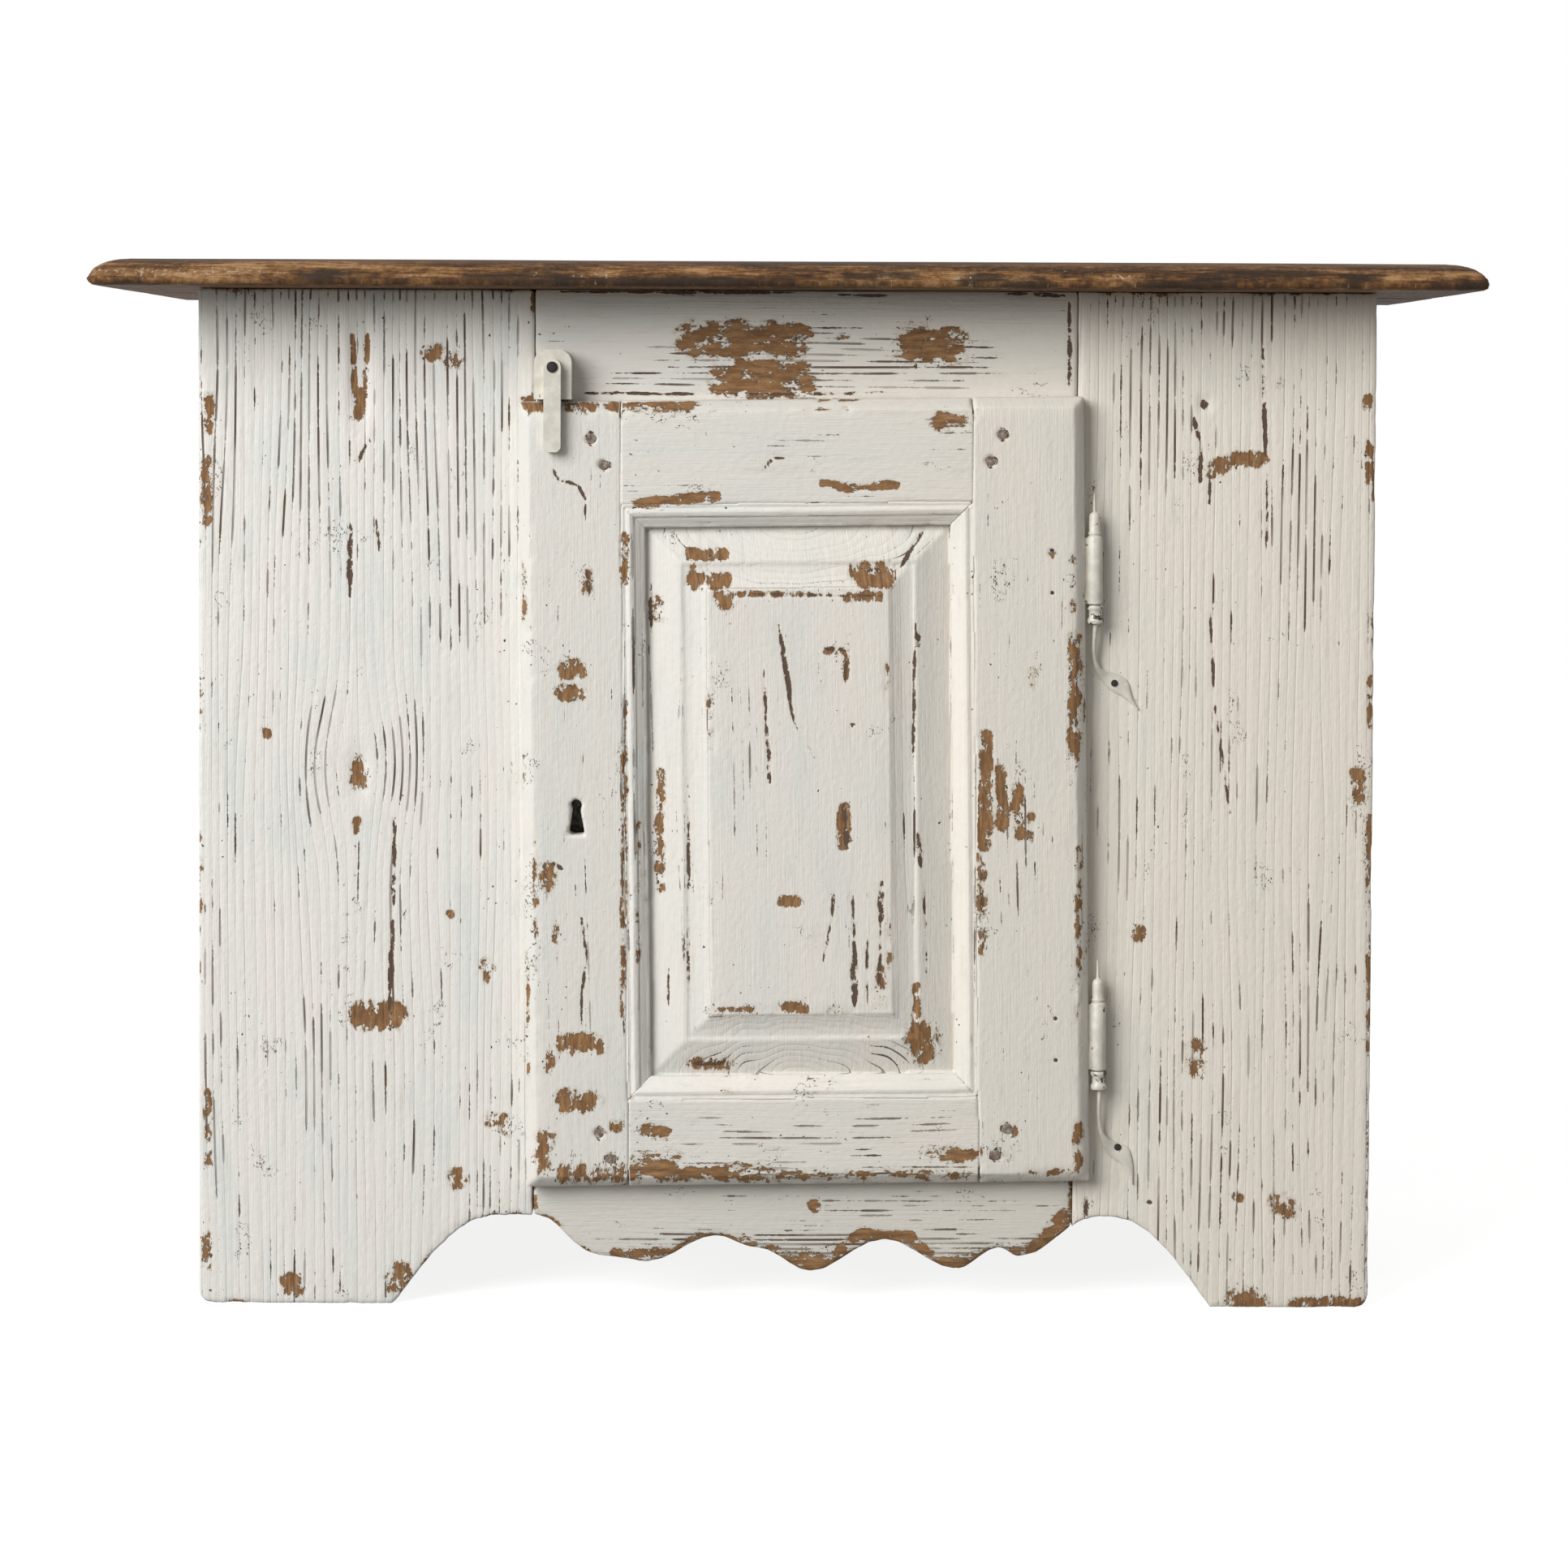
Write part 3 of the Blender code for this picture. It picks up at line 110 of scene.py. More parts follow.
def seen_at(px, py, plane_y):
    """The (x, z) on the plane y = plane_y that shows at a pixel of the photograph."""
    right, up, forward = camera_axes()
    middle = PHOTO_SIZE / 2
    ray = forward + right * ((px - middle) / FOCAL_PIXELS)
    ray = ray + up * ((middle + CAMERA_SHIFT * PHOTO_SIZE - py) / FOCAL_PIXELS)
    reach = (plane_y - CAMERA_PLACE.y) / ray.y
    return CAMERA_PLACE.x + ray.x * reach, CAMERA_PLACE.z + ray.z * reach


# Marks of wear in the photograph's pixels. Five numbers are a box: left, top, right, bottom, strength.
# Six are a stroke: start x, start y, end x, end y, half width, strength.
CARCASS_CHIPS = (
    # left plank
    (246, 560, 262, 650, 0.75), (247, 480, 266, 540, 0.55), (443, 484, 443, 511, 6, 1.3),
    (434, 414, 437, 488, 3, 1.1), (453, 414, 449, 488, 3, 1.1), (518, 424, 546, 446, 0.9),
    (545, 436, 574, 456, 0.8), (432, 930, 452, 976, 0.8), (320, 897, 334, 911, 0.9),
    (430, 1236, 498, 1266, 1.2), (590, 1180, 610, 1212, 0.75), (612, 1372, 634, 1402, 0.7),
    (552, 1438, 576, 1466, 0.8), (597, 1366, 614, 1392, 0.6), (346, 1568, 374, 1600, 0.9),
    (476, 1556, 512, 1598, 0.85), (247, 1516, 262, 1566, 0.7), (545, 1120, 560, 1134, 0.7),
    (250, 1340, 264, 1440, 0.6), (432, 1005, 446, 1030, 0.6),
    # top rail
    (835, 398, 1000, 438, 1.0), (876, 445, 1002, 491, 1.0), (1104, 404, 1192, 447, 1.0),
    (1030, 410, 1050, 422, 0.6), (640, 486, 700, 500, 0.7),
    # apron
    (759, 1547, 833, 1544, 8, 0.9), (833, 1540, 860, 1523, 6, 0.85), (915, 1527, 957, 1543, 6, 0.85),
    (957, 1548, 1030, 1554, 9, 0.9), (1030, 1545, 1060, 1521, 7, 0.9), (1060, 1519, 1122, 1523, 6, 0.9),
    (1122, 1527, 1150, 1549, 7, 0.9), (1150, 1555, 1214, 1554, 9, 0.95),
    (1214, 1548, 1278, 1541, 7, 0.85), (1278, 1536, 1312, 1498, 9, 0.95), (996, 1478, 1011, 1493, 1.1),
    # right plank
    (1494, 580, 1524, 567, 10, 1.0), (1524, 567, 1554, 566, 9, 1.0), (1568, 460, 1584, 480, 0.5),
    (1662, 946, 1684, 992, 0.8), (1680, 486, 1692, 508, 0.9), (1682, 540, 1693, 600, 0.75),
    (1684, 830, 1693, 900, 0.7), (1682, 1000, 1693, 1104, 0.62), (1683, 1150, 1694, 1304, 0.72),
    (1682, 1380, 1694, 1504, 0.6), (1512, 1588, 1562, 1617, 0.9), (1588, 1598, 1692, 1618, 0.9),
    (1560, 1468, 1602, 1502, 0.6), (1460, 1278, 1486, 1332, 0.65), (1394, 1138, 1416, 1162, 0.7),
    (1519, 1468, 1533, 1482, 0.9),
)
CARCASS_STREAKS = (
    # left plank
    (242, 366, 305, 700, 0.62), (335, 366, 425, 700, 0.52), (458, 366, 645, 720, 0.5),
    (370, 865, 425, 1010, 0.62), (470, 870, 530, 1005, 0.62), (478, 1012, 493, 1248, 1.1),
    (352, 1248, 408, 1396, 0.66), (452, 1305, 480, 1374, 0.55), (498, 1376, 548, 1456, 0.5),
    (512, 690, 604, 810, 0.45), (246, 1090, 275, 1470, 0.45), (250, 1280, 305, 1430, 0.36),
    (560, 1420, 650, 1500, 0.4), (330, 1540, 480, 1604, 0.3),
    # top rail
    (780, 392, 1210, 502, 0.55), (1015, 436, 1310, 482, 0.4), (660, 430, 860, 500, 0.3),
    # apron
    (690, 1512, 1345, 1568, 0.66), (900, 1470, 1330, 1510, 0.36),
    # right plank
    (1375, 395, 1475, 600, 0.62), (1478, 372, 1610, 420, 0.4), (1570, 500, 1640, 760, 0.5),
    (242, 354, 660, 374, 0.5), (1325, 360, 1692, 382, 0.5), (1366, 985, 1405, 1104, 0.52),
    (1576, 1096, 1655, 1404, 0.46), (1398, 1215, 1565, 1612, 0.38), (1596, 1436, 1692, 1608, 0.32),
    (1436, 1226, 1505, 1344, 0.55), (1540, 930, 1560, 1030, 0.7), (1480, 860, 1530, 1010, 0.35),
)
DOOR_CHIPS = (
    # left stile
    (688, 812, 726, 838, 0.9), (686, 842, 724, 863, 0.9), (690, 1274, 752, 1300, 0.9),
    (690, 1343, 748, 1371, 0.9), (664, 1385, 692, 1454, 0.62), (664, 1060, 692, 1102, 0.65),
    (716, 698, 734, 737, 0.55), (676, 1290, 692, 1330, 0.6), (636, 690, 652, 770, 0.55),
    (650, 1180, 660, 1330, 0.55), (684, 1130, 696, 1165, 0.6),
    # rails
    (640, 488, 862, 507, 0.85), (688, 1432, 965, 1462, 0.68), (784, 1420, 852, 1456, 0.85),
    (758, 1378, 778, 1396, 0.7), (794, 1384, 834, 1403, 0.8), (1148, 1413, 1219, 1433, 0.75),
    (786, 621, 882, 611, 6.5, 1.05), (1016, 595, 1045, 602, 5, 1.05), (1045, 602, 1105, 597, 5, 1.05),
    (1143, 506, 1197, 532, 0.7), (720, 1436, 800, 1455, 0.6), (960, 1440, 1210, 1460, 0.55),
    # right stile
    (1218, 908, 1219, 1042, 8, 1.05), (1237, 948, 1240, 1018, 7, 0.9), (1256, 972, 1262, 1028, 8, 0.85),
    (1274, 1006, 1275, 1034, 6, 0.75), (1262, 818, 1292, 852, 0.45), (1318, 778, 1336, 940, 0.8),
    (1206, 1048, 1222, 1180, 0.6), (1328, 1040, 1342, 1200, 0.55), (1246, 1386, 1262, 1404, 0.85),
    (1328, 1380, 1344, 1450, 0.6), (1292, 676, 1304, 690, 0.7),
    # mouldings
    (764, 655, 778, 725, 0.7), (768, 862, 778, 1256, 0.62), (786, 1010, 796, 1190, 0.5),
    (880, 1338, 1100, 1352, 0.3),
)
DOOR_STREAKS = (
    (938, 532, 1034, 562, 0.5), (736, 578, 905, 612, 0.38), (778, 1366, 1215, 1424, 0.46),
    (690, 1426, 1220, 1462, 0.5), (1140, 500, 1200, 540, 0.5), (764, 650, 800, 1260, 0.6),
    (1206, 880, 1290, 1190, 0.42), (670, 780, 760, 900, 0.28), (656, 1040, 760, 1300, 0.3),
    (1196, 640, 1216, 1300, 0.3), (1325, 700, 1345, 1250, 0.4),
)
PANEL_CHIPS = (
    (842, 676, 900, 692, 0.9), (846, 690, 860, 716, 0.6), (846, 706, 902, 726, 1.0),
    (1048, 694, 1106, 722, 1.0), (880, 728, 908, 750, 0.9), (905, 728, 1000, 736, 0.75),
    (1040, 728, 1090, 742, 0.8), (800, 730, 822, 768, 0.6), (1016, 797, 1046, 808, 0.8),
    (1040, 804, 1048, 838, 0.8), (1034, 988, 1050, 1048, 0.9), (960, 1103, 992, 1117, 0.85),
    (885, 1240, 935, 1248, 0.7), (960, 1232, 1002, 1248, 0.9), (848, 1304, 908, 1321, 0.85),
    (1123, 1260, 1157, 1314, 0.95), (1080, 1188, 1096, 1240, 0.65), (806, 946, 822, 1104, 0.6),
    (1126, 1212, 1138, 1272, 0.9),
)
PANEL_STREAKS = (
    (898, 826, 938, 1004, 0.5), (818, 738, 864, 1274, 0.3), (1124, 738, 1186, 1254, 0.45),
    (798, 776, 818, 964, 0.5), (850, 1280, 940, 1324, 0.4), (1060, 1270, 1150, 1324, 0.5),
    (884, 1000, 960, 1060, 0.4),
)
# Dark scarring, all strokes; the carcass's last three are painted shadow in the gap under the top
CARCASS_SCARS_AND_SHADOW = (
    # left plank
    (456, 542, 456, 543, 4.5, 1.2), (452, 546, 440, 572, 2.8, 0.9), (432, 645, 431, 735, 3.2, 1.0),
    (464, 640, 468, 682, 2.2, 0.7), (486, 1010, 484, 1130, 2.6, 1.0), (484, 1130, 480, 1246, 3, 1.1),
    # top rail
    (720, 484, 800, 485, 2.2, 1.0), (800, 485, 880, 486, 2.2, 0.8), (880, 486, 1110, 484, 1.8, 0.9),
    # right plank
    (1556, 430, 1560, 570, 2.6, 1.0), (1560, 570, 1562, 700, 1.8, 0.8), (1470, 512, 1480, 550, 2.4, 1.1),
    (1480, 550, 1479, 600, 2.4, 1.0), (1491, 580, 1490, 620, 2.2, 0.9), (1490, 740, 1497, 870, 1.7, 0.9),
    (1497, 870, 1516, 1005, 1.7, 0.9), (1481, 500, 1488, 498, 5.5, 1.2), (1417, 1480, 1417, 1482, 5, 1.2),
    (1318, 372, 1318, 480, 2.4, 1.0), (1337, 1470, 1338, 1500, 2.2, 1.0),
    # painted shadow: dark strokes along the rail's top edge where the gap under the top lies in shade
    (690, 359, 1000, 361, 1.7, 1.6), (1030, 364, 1110, 365, 1.6, 0.9), (1240, 361, 1312, 364, 2.0, 1.6),
)
DOOR_SCARS = (
    (684, 1062, 700, 1072, 3, 0.8), (724, 700, 728, 735, 3, 0.7), (682, 578, 690, 592, 2.2, 1.0),
    (690, 592, 712, 597, 2, 1.0), (712, 597, 724, 617, 2, 1.0), (722, 622, 722, 642, 1.6, 0.9),
    (943, 578, 951, 566, 1.8, 1.0), (951, 566, 974, 562, 1.5, 0.9), (722, 1130, 728, 1180, 1.8, 0.9),
    (728, 1180, 722, 1230, 1.8, 0.9), (722, 1230, 724, 1270, 1.6, 0.9),
    (1214, 1050, 1216, 1180, 2.5, 0.7), (772, 880, 774, 1240, 2.2, 0.6),
)
PANEL_SCARS = (
    (961, 770, 980, 890, 3.4, 0.8), (980, 890, 1006, 935, 1.8, 0.55), (942, 825, 946, 900, 2.2, 0.75),
    (946, 890, 950, 965, 3.4, 0.8), (1018, 799, 1044, 801, 3.5, 0.9), (1044, 812, 1042, 846, 2, 0.8),
    (1041, 990, 1043, 1015, 3, 1.0), (1043, 1015, 1046, 1046, 3.4, 1.0), (1052, 892, 1052, 894, 4, 1.1),
    (1031, 1090, 1026, 1140, 2.6, 0.6), (1026, 1140, 1016, 1188, 2.6, 0.6),
    (1053, 1100, 1055, 1160, 2.2, 0.8), (1055, 1160, 1056, 1240, 4.5, 0.9),
    (1071, 1150, 1071, 1240, 2, 0.7), (1089, 1085, 1087, 1140, 4, 0.85),
    (1087, 1140, 1086, 1240, 2.6, 0.75), (1129, 768, 1127, 960, 2, 0.8), (1133, 780, 1134, 798, 4.5, 0.9),
    (1133, 1025, 1138, 1072, 4.5, 0.65), (1140, 1080, 1146, 1220, 2, 0.65),
    (802, 720, 803, 780, 2.6, 0.75), (850, 955, 851, 1240, 2.2, 0.72), (826, 1195, 826, 1242, 2, 0.7),
    (1110, 700, 1138, 655, 3, 0.85), (858, 1313, 902, 1311, 4, 0.9), (906, 732, 1088, 734, 2.4, 0.7),
)
# Pale scuffs, along the nose's upper band also painted highlight, and dark stains, along its lower edge also
# painted shade, on the top's front edge, as boxes
TOP_SCUFFS_AND_HIGHLIGHT = (
    (110, 318, 330, 345, 0.9), (340, 318, 560, 332, 0.7), (840, 318, 930, 332, 0.9),
    (1150, 320, 1500, 334, 0.8), (1700, 325, 1800, 350, 0.5),
)
TOP_STAINS_AND_SHADE = (
    (360, 330, 470, 350, 0.8), (560, 325, 740, 352, 0.8), (700, 338, 1000, 362, 0.8),
    (930, 318, 1000, 335, 0.7), (1040, 322, 1140, 345, 0.8), (1170, 330, 1240, 354, 0.9),
    # Of these, the boxes (100, 350, 1800, 366) and (1000, 344, 1700, 364) are painted shade along the nose's lower
    # edge
    (1530, 320, 1640, 345, 1.0), (1640, 330, 1720, 352, 0.7), (100, 350, 1800, 366, 0.7),
    (1000, 344, 1700, 364, 0.75),
)
# Hollows cut into the wood: left, top, right, bottom, depth in metres
CARCASS_GOUGES = (
    (432, 396, 456, 520, 0.0026), (1476, 488, 1494, 508, 0.0012), (430, 925, 454, 980, 0.0012),
)


@dataclass
class Marks:
    """Marks on one plane of the front: bare spots, dark scarring and painted shadow lines, zones of cracked grain,
    and hollows. On the top the bare spots are pale scuffs, partly painted highlight, and the zones are stains,
    partly painted shade.
    """

    chips_and_highlight: tuple = ()
    scars_and_shadow: tuple = ()
    streaks: tuple = ()
    gouges: tuple = ()


# How fast strokes and zones fade past their edges, how blunt their ends are, and how far zones reach
STROKE_FADE = 0.7
STROKE_BLUNT = 3
ZONE_FADE = 0.8
ZONE_BLUNT = 3
ZONE_REACH = 2.0
SHORTEST_STROKE = 1e-9


def strokes_on(marks, plane_y, lean=0.0):
    """Marks in pixels as strokes on a plane: (x, z) of both ends, half width and strength.

    A mark of five numbers is a box, and its stroke runs along the longer side. lean is how far a mark moves
    left for each pixel below LEAN_TOP.
    """
    pixel = (plane_y - CAMERA_PLACE.y) / FOCAL_PIXELS
    strokes = []
    for mark in marks:
        if len(mark) == 5:
            left, top, right, bottom, strength = mark
            half = min(right - left, bottom - top) / 2
            mark = (left + half, top + half, right - half, bottom - half, half, strength)
        start_x, start_y, end_x, end_y, half, strength = mark
        start = seen_at(start_x - lean * (start_y - LEAN_TOP), start_y, plane_y)
        end = seen_at(end_x - lean * (end_y - LEAN_TOP), end_y, plane_y)
        strokes.append((start, end, half * pixel, strength))
    return strokes


def stroked(x, z, strokes, taper=0.0):
    """How strongly strokes reach each point: their strength in the middle, fading out past their edges.

    taper is how much narrower a stroke gets towards its ends.
    """
    total = np.zeros_like(x)
    for (start_x, start_z), (end_x, end_z), half, strength in strokes:
        run_x, run_z = end_x - start_x, end_z - start_z
        squared = max(run_x ** 2 + run_z ** 2, SHORTEST_STROKE)
        part = np.clip(((x - start_x) * run_x + (z - start_z) * run_z) / squared, 0.0, 1.0)
        reach = half * (1.0 - taper * np.abs(2.0 * part - 1.0) ** STROKE_BLUNT)
        away = np.hypot(x - start_x - part * run_x, z - start_z - part * run_z) / reach
        total = np.maximum(total, strength * np.exp(-STROKE_FADE * away ** 2))
    return total


def zones_on(boxes, plane_y):
    """Boxes of pixels as (x, z, half width, half height, strength) on a plane of the cabinet."""
    zones = []
    for left, top, right, bottom, strength in boxes:
        x0, z1 = seen_at(left, top, plane_y)
        x1, z0 = seen_at(right, bottom, plane_y)
        zones.append(((x0 + x1) / 2, (z0 + z1) / 2, (x1 - x0) / 2, (z1 - z0) / 2, strength))
    return zones


def zoned(x, z, zones):
    """How strongly zones reach each point: their strength inside, fading out past their edges."""
    total = np.zeros_like(x)
    for zone_x, zone_z, half_width, half_height, strength in zones:
        across, up = np.abs(x - zone_x) / half_width, np.abs(z - zone_z) / half_height
        near = (across < ZONE_REACH) & (up < ZONE_REACH)
        reach = across[near] ** ZONE_BLUNT + up[near] ** ZONE_BLUNT
        total[near] = np.maximum(total[near], strength * np.exp(-ZONE_FADE * reach))
    return total


def marks_on(plane_y, chips_and_highlight=(), scars_and_shadow=(), streaks=(), gouges=(), lean=0.0):
    """Marks in the photograph's pixels laid on a plane of the cabinet."""
    patches, cuts_and_shadow = strokes_on(chips_and_highlight, plane_y, lean), strokes_on(scars_and_shadow, plane_y, lean)
    return Marks(patches, cuts_and_shadow, zones_on(streaks, plane_y), zones_on(gouges, plane_y))


# Whole numbers that scatter the cells of the noise
CELL_FACTORS = np.array([374761393, 668265263, 1274126177], np.int64)
SEED_FACTOR = 974634777
SCATTER = ((13, 1103515245), (11, 12345677))
POSITIVE = 0x7FFFFFFF
UNUSED_BITS = 7
USED_BITS = 0xFFFF


def lattice(cells, seed):
    """A repeatable number from 0 to 1 for each whole-number cell."""
    mixed = cells @ CELL_FACTORS + seed * SEED_FACTOR
    for shift, factor in SCATTER:
        mixed = (mixed ^ (mixed >> shift)) * factor & POSITIVE
    return (mixed >> UNUSED_BITS & USED_BITS) / USED_BITS


def smooth_noise(points, size, seed):
    """Smooth noise from 0 to 1 whose lumps are about size metres along each axis."""
    scaled = points / np.array(size)
    cell = np.floor(scaled).astype(np.int64)
    part = scaled - cell
    part = part * part * (3.0 - 2.0 * part)
    total = np.zeros(len(points))
    for corner in np.ndindex(2, 2, 2):
        corner = np.array(corner)
        weight = np.prod(np.where(corner == 1, part, 1.0 - part), axis=1)
        total += weight * lattice(cell + corner, seed)
    return total


def smoothstep(low, high, value):
    part = np.clip((value - low) / (high - low), 0.0, 1.0)
    return part * part * (3.0 - 2.0 * part)


class Graph:
    """A material's node tree, with short calls for the nodes used here."""

    def __init__(self, name):
        self.material = bpy.data.materials.new(name)
        self.material.use_nodes = True
        self.tree = self.material.node_tree
        self.shader = self.tree.nodes["Principled BSDF"]

    def put(self, socket, value):
        if isinstance(value, bpy.types.NodeSocket):
            self.tree.links.new(value, socket)
        else:
            socket.default_value = value

    def node(self, kind, **settings):
        made = self.tree.nodes.new(kind)
        for name, value in settings.items():
            setattr(made, name, value)
        return made

    def attribute(self, name):
        return self.node("ShaderNodeAttribute", attribute_name=name).outputs["Fac"]

    def place(self):
        return self.node("ShaderNodeTexCoord").outputs["Object"]

    def math(self, operation, *values, clamp=False):
        made = self.node("ShaderNodeMath", operation=operation, use_clamp=clamp)
        for socket, value in zip(made.inputs, values):
            self.put(socket, value)
        return made.outputs[0]

    def times(self, first, second):
        return self.math("MULTIPLY", first, second)

    def most(self, first, second):
        return self.math("MAXIMUM", first, second)

    def total(self, start, *terms):
        """start plus each (value, weight) of the terms."""
        for value, weight in terms:
            start = self.math("MULTIPLY_ADD", value, weight, start)
        return start

    def blend(self, share, first, second):
        """A number that goes from first to second as share goes from 0 to 1."""
        return self.total(first, (share, self.math("SUBTRACT", second, first)))

    def vector(self, x, y, z):
        made = self.node("ShaderNodeCombineXYZ")
        for socket, value in zip(made.inputs, (x, y, z)):
            self.put(socket, value)
        return made.outputs[0]

    def noise(self, point, detail=3.0, roughness=0.5, scale=1.0):
        made = self.node("ShaderNodeTexNoise")
        self.put(made.inputs["Vector"], point)
        made.inputs["Scale"].default_value = scale
        made.inputs["Detail"].default_value = detail
        made.inputs["Roughness"].default_value = roughness
        return made.outputs["Fac"]

    def step(self, value, low, high, start=0.0, end=1.0):
        """A number that goes smoothly from start to end as value goes from low to high."""
        made = self.node("ShaderNodeMapRange", interpolation_type="SMOOTHSTEP")
        for name, part in (("From Min", low), ("From Max", high), ("To Min", start), ("To Max", end)):
            made.inputs[name].default_value = part
        self.put(made.inputs["Value"], value)
        return made.outputs["Result"]

    def mix(self, share, first, second):
        made = self.node("ShaderNodeMix", data_type="RGBA")
        for name, value in (("Factor", share), ("A", first), ("B", second)):
            self.put(made.inputs[name], value)
        return made.outputs["Result"]

    def ramp(self, value, *stops):
        """Colours at places from 0 to 1 along value."""
        made = self.node("ShaderNodeValToRGB")
        elements = made.color_ramp.elements
        while len(elements) < len(stops):
            elements.new(0.5)
        for element, (place, colour) in zip(elements, stops):
            element.position = place
            element.color = colour
        self.put(made.inputs["Fac"], value)
        return made.outputs["Color"]

    def bump(self, height, distance):
        made = self.node("ShaderNodeBump")
        made.inputs["Distance"].default_value = distance
        self.put(made.inputs["Height"], height)
        self.put(self.shader.inputs["Normal"], made.outputs["Normal"])

    def finish(self, colour, roughness):
        self.put(self.shader.inputs["Base Color"], colour)
        self.put(self.shader.inputs["Roughness"], roughness)
        return self.material


RING_WIDTH = 0.0068
LINE_HALF_WIDTH = 0.0009


class WoodGraph(Graph):
    """A node tree for wood, with noise that follows the grain stored on the mesh."""

    def __init__(self, name, across="across"):
        super().__init__(name)
        self.across, self.along = self.attribute(across), self.attribute("along")

    def fields(self, *names):
        return [self.attribute(name) for name in names]

    def grain(self, across_size, along_size, shift=0.0, **settings):
        """Noise whose lumps measure across_size by along_size metres in the wood."""
        across = self.times(self.across, 1.0 / across_size)
        along = self.times(self.along, 1.0 / along_size)
        return self.noise(self.vector(across, along, shift), **settings)

    def per_line(self, number, apart, pace, shift, **settings):
        """Noise along each ring line that differs from line to line."""
        point = self.vector(self.times(number, apart), self.times(self.along, pace), shift)
        return self.noise(point, **settings)

    def ring_lines(self):
        """The number of the nearest year ring's hard line, and 1 on its middle down to 0 at its edges."""
        phase = self.times(self.attribute("ring"), 1.0 / RING_WIDTH)
        number = self.math("ROUND", phase)
        away = self.math("ABSOLUTE", self.math("SUBTRACT", phase, number))
        away = self.math("DIVIDE", self.times(away, RING_WIDTH / LINE_HALF_WIDTH), self.attribute("pace"))
        return number, self.math("SUBTRACT", 1.0, away, clamp=True)


def srgb(red, green, blue):
    """A colour as a picture program shows it, 0 to 255, in Blender's linear numbers."""
    linear = []
    for part in (red, green, blue):
        value = part / 255.0
        linear.append(value / 12.92 if value <= 0.04045 else ((value + 0.055) / 1.055) ** 2.4)
    return (*linear, 1.0)


PAINT_COOL = srgb(220, 221, 216)
PAINT_MIDDLE = srgb(228, 225, 218)
PAINT_WARM = srgb(230, 224, 217)
PAINT_GREY = srgb(198, 194, 184)
PAINT_STAIN = srgb(186, 170, 146)
PAINT_CREAM = srgb(230, 219, 201)
BARE_DARK = srgb(86, 60, 38)
BARE_MIDDLE = srgb(130, 93, 56)
BARE_LIGHT = srgb(166, 128, 86)
CREVICE = srgb(82, 67, 56)
# Paint is gone where a chip's or a scar's value passes this
BARE_FROM = 0.50


def cracked(g, number, line, fine, chip_value):
    """Dashes of lost paint along the ring lines, fine specks and crackle."""
    chips_and_highlight, streaks, ridges = g.fields("chips_and_highlight", "streaks", "ridges")
    dashes = g.per_line(number, 3.7, 22.0, 5.0, detail=3.0, roughness=0.55)
    value = g.total(dashes, (line, 0.10), (streaks, 0.48), (ridges, 0.08), (fine, 0.22))
    depth = g.step(g.per_line(number, 2.9, 9.0, 31.0), 0.38, 0.62, 0.45, 1.0)
    streak = g.times(g.times(g.step(value, 0.915, 0.955), g.step(line, 0.02, 0.30)), depth)
    dots = g.grain(0.0030, 0.0044, 43.0, detail=2.0)
    crowd = g.grain(0.05, 0.09, 47.0, detail=2.0)
    speck = g.step(g.total(dots, (crowd, 0.30), (chips_and_highlight, 0.20)), 0.905, 0.935)
    web = g.grain(0.009, 0.014, 53.0, detail=4.0, roughness=0.6)
    thread = g.step(g.math("ABSOLUTE", g.math("SUBTRACT", web, 0.5)), 0.008, 0.018, 1.0, 0.0)
    crazed = g.grain(0.035, 0.055, 59.0, detail=3.0)
    crackle = g.times(g.step(g.total(crazed, (chips_and_highlight, 0.2)), 0.635, 0.665), g.step(fine, 0.50, 0.58))
    speck = g.most(speck, g.times(thread, crackle))
    whole = g.step(chip_value, 0.42, 0.54, 1.0, 0.2)
    return g.times(g.most(streak, speck), whole)


def aged_paint(g, relief, chip_value, scar_and_shadow_value):
    """White paint greyed by grime and, on the apron, painted shade; painted shade in the grain's grooves; a stain
    round lost paint.
    """
    cream, dirt_and_shade = g.fields("cream", "dirt_and_shade")
    tone = g.grain(0.03, 0.14, 17.0, detail=4.0, roughness=0.6)
    paint = g.ramp(tone, (0.34, PAINT_COOL), (0.50, PAINT_MIDDLE), (0.66, PAINT_WARM))
    paint = g.mix(g.times(cream, 0.6), paint, PAINT_CREAM)
    # Per-board grey: grime, and on the apron also painted shade under the door
    paint = g.mix(dirt_and_shade, paint, PAINT_GREY)
    grime = g.grain(0.007, 0.05, 23.0, detail=6.0, roughness=0.7)
    paint = g.mix(g.step(grime, 0.50, 0.80, 0.0, 0.6), paint, PAINT_GREY)
    # Painted shade: the paint greys along the sunken ring lines of the grain
    paint = g.mix(g.times(relief, 0.30), paint, PAINT_GREY)
    paint = g.mix(g.step(chip_value, 0.28, BARE_FROM, 0.0, 0.6), paint, PAINT_STAIN)
    return g.mix(g.step(scar_and_shadow_value, 0.22, BARE_FROM, 0.0, 0.5), paint, PAINT_STAIN)


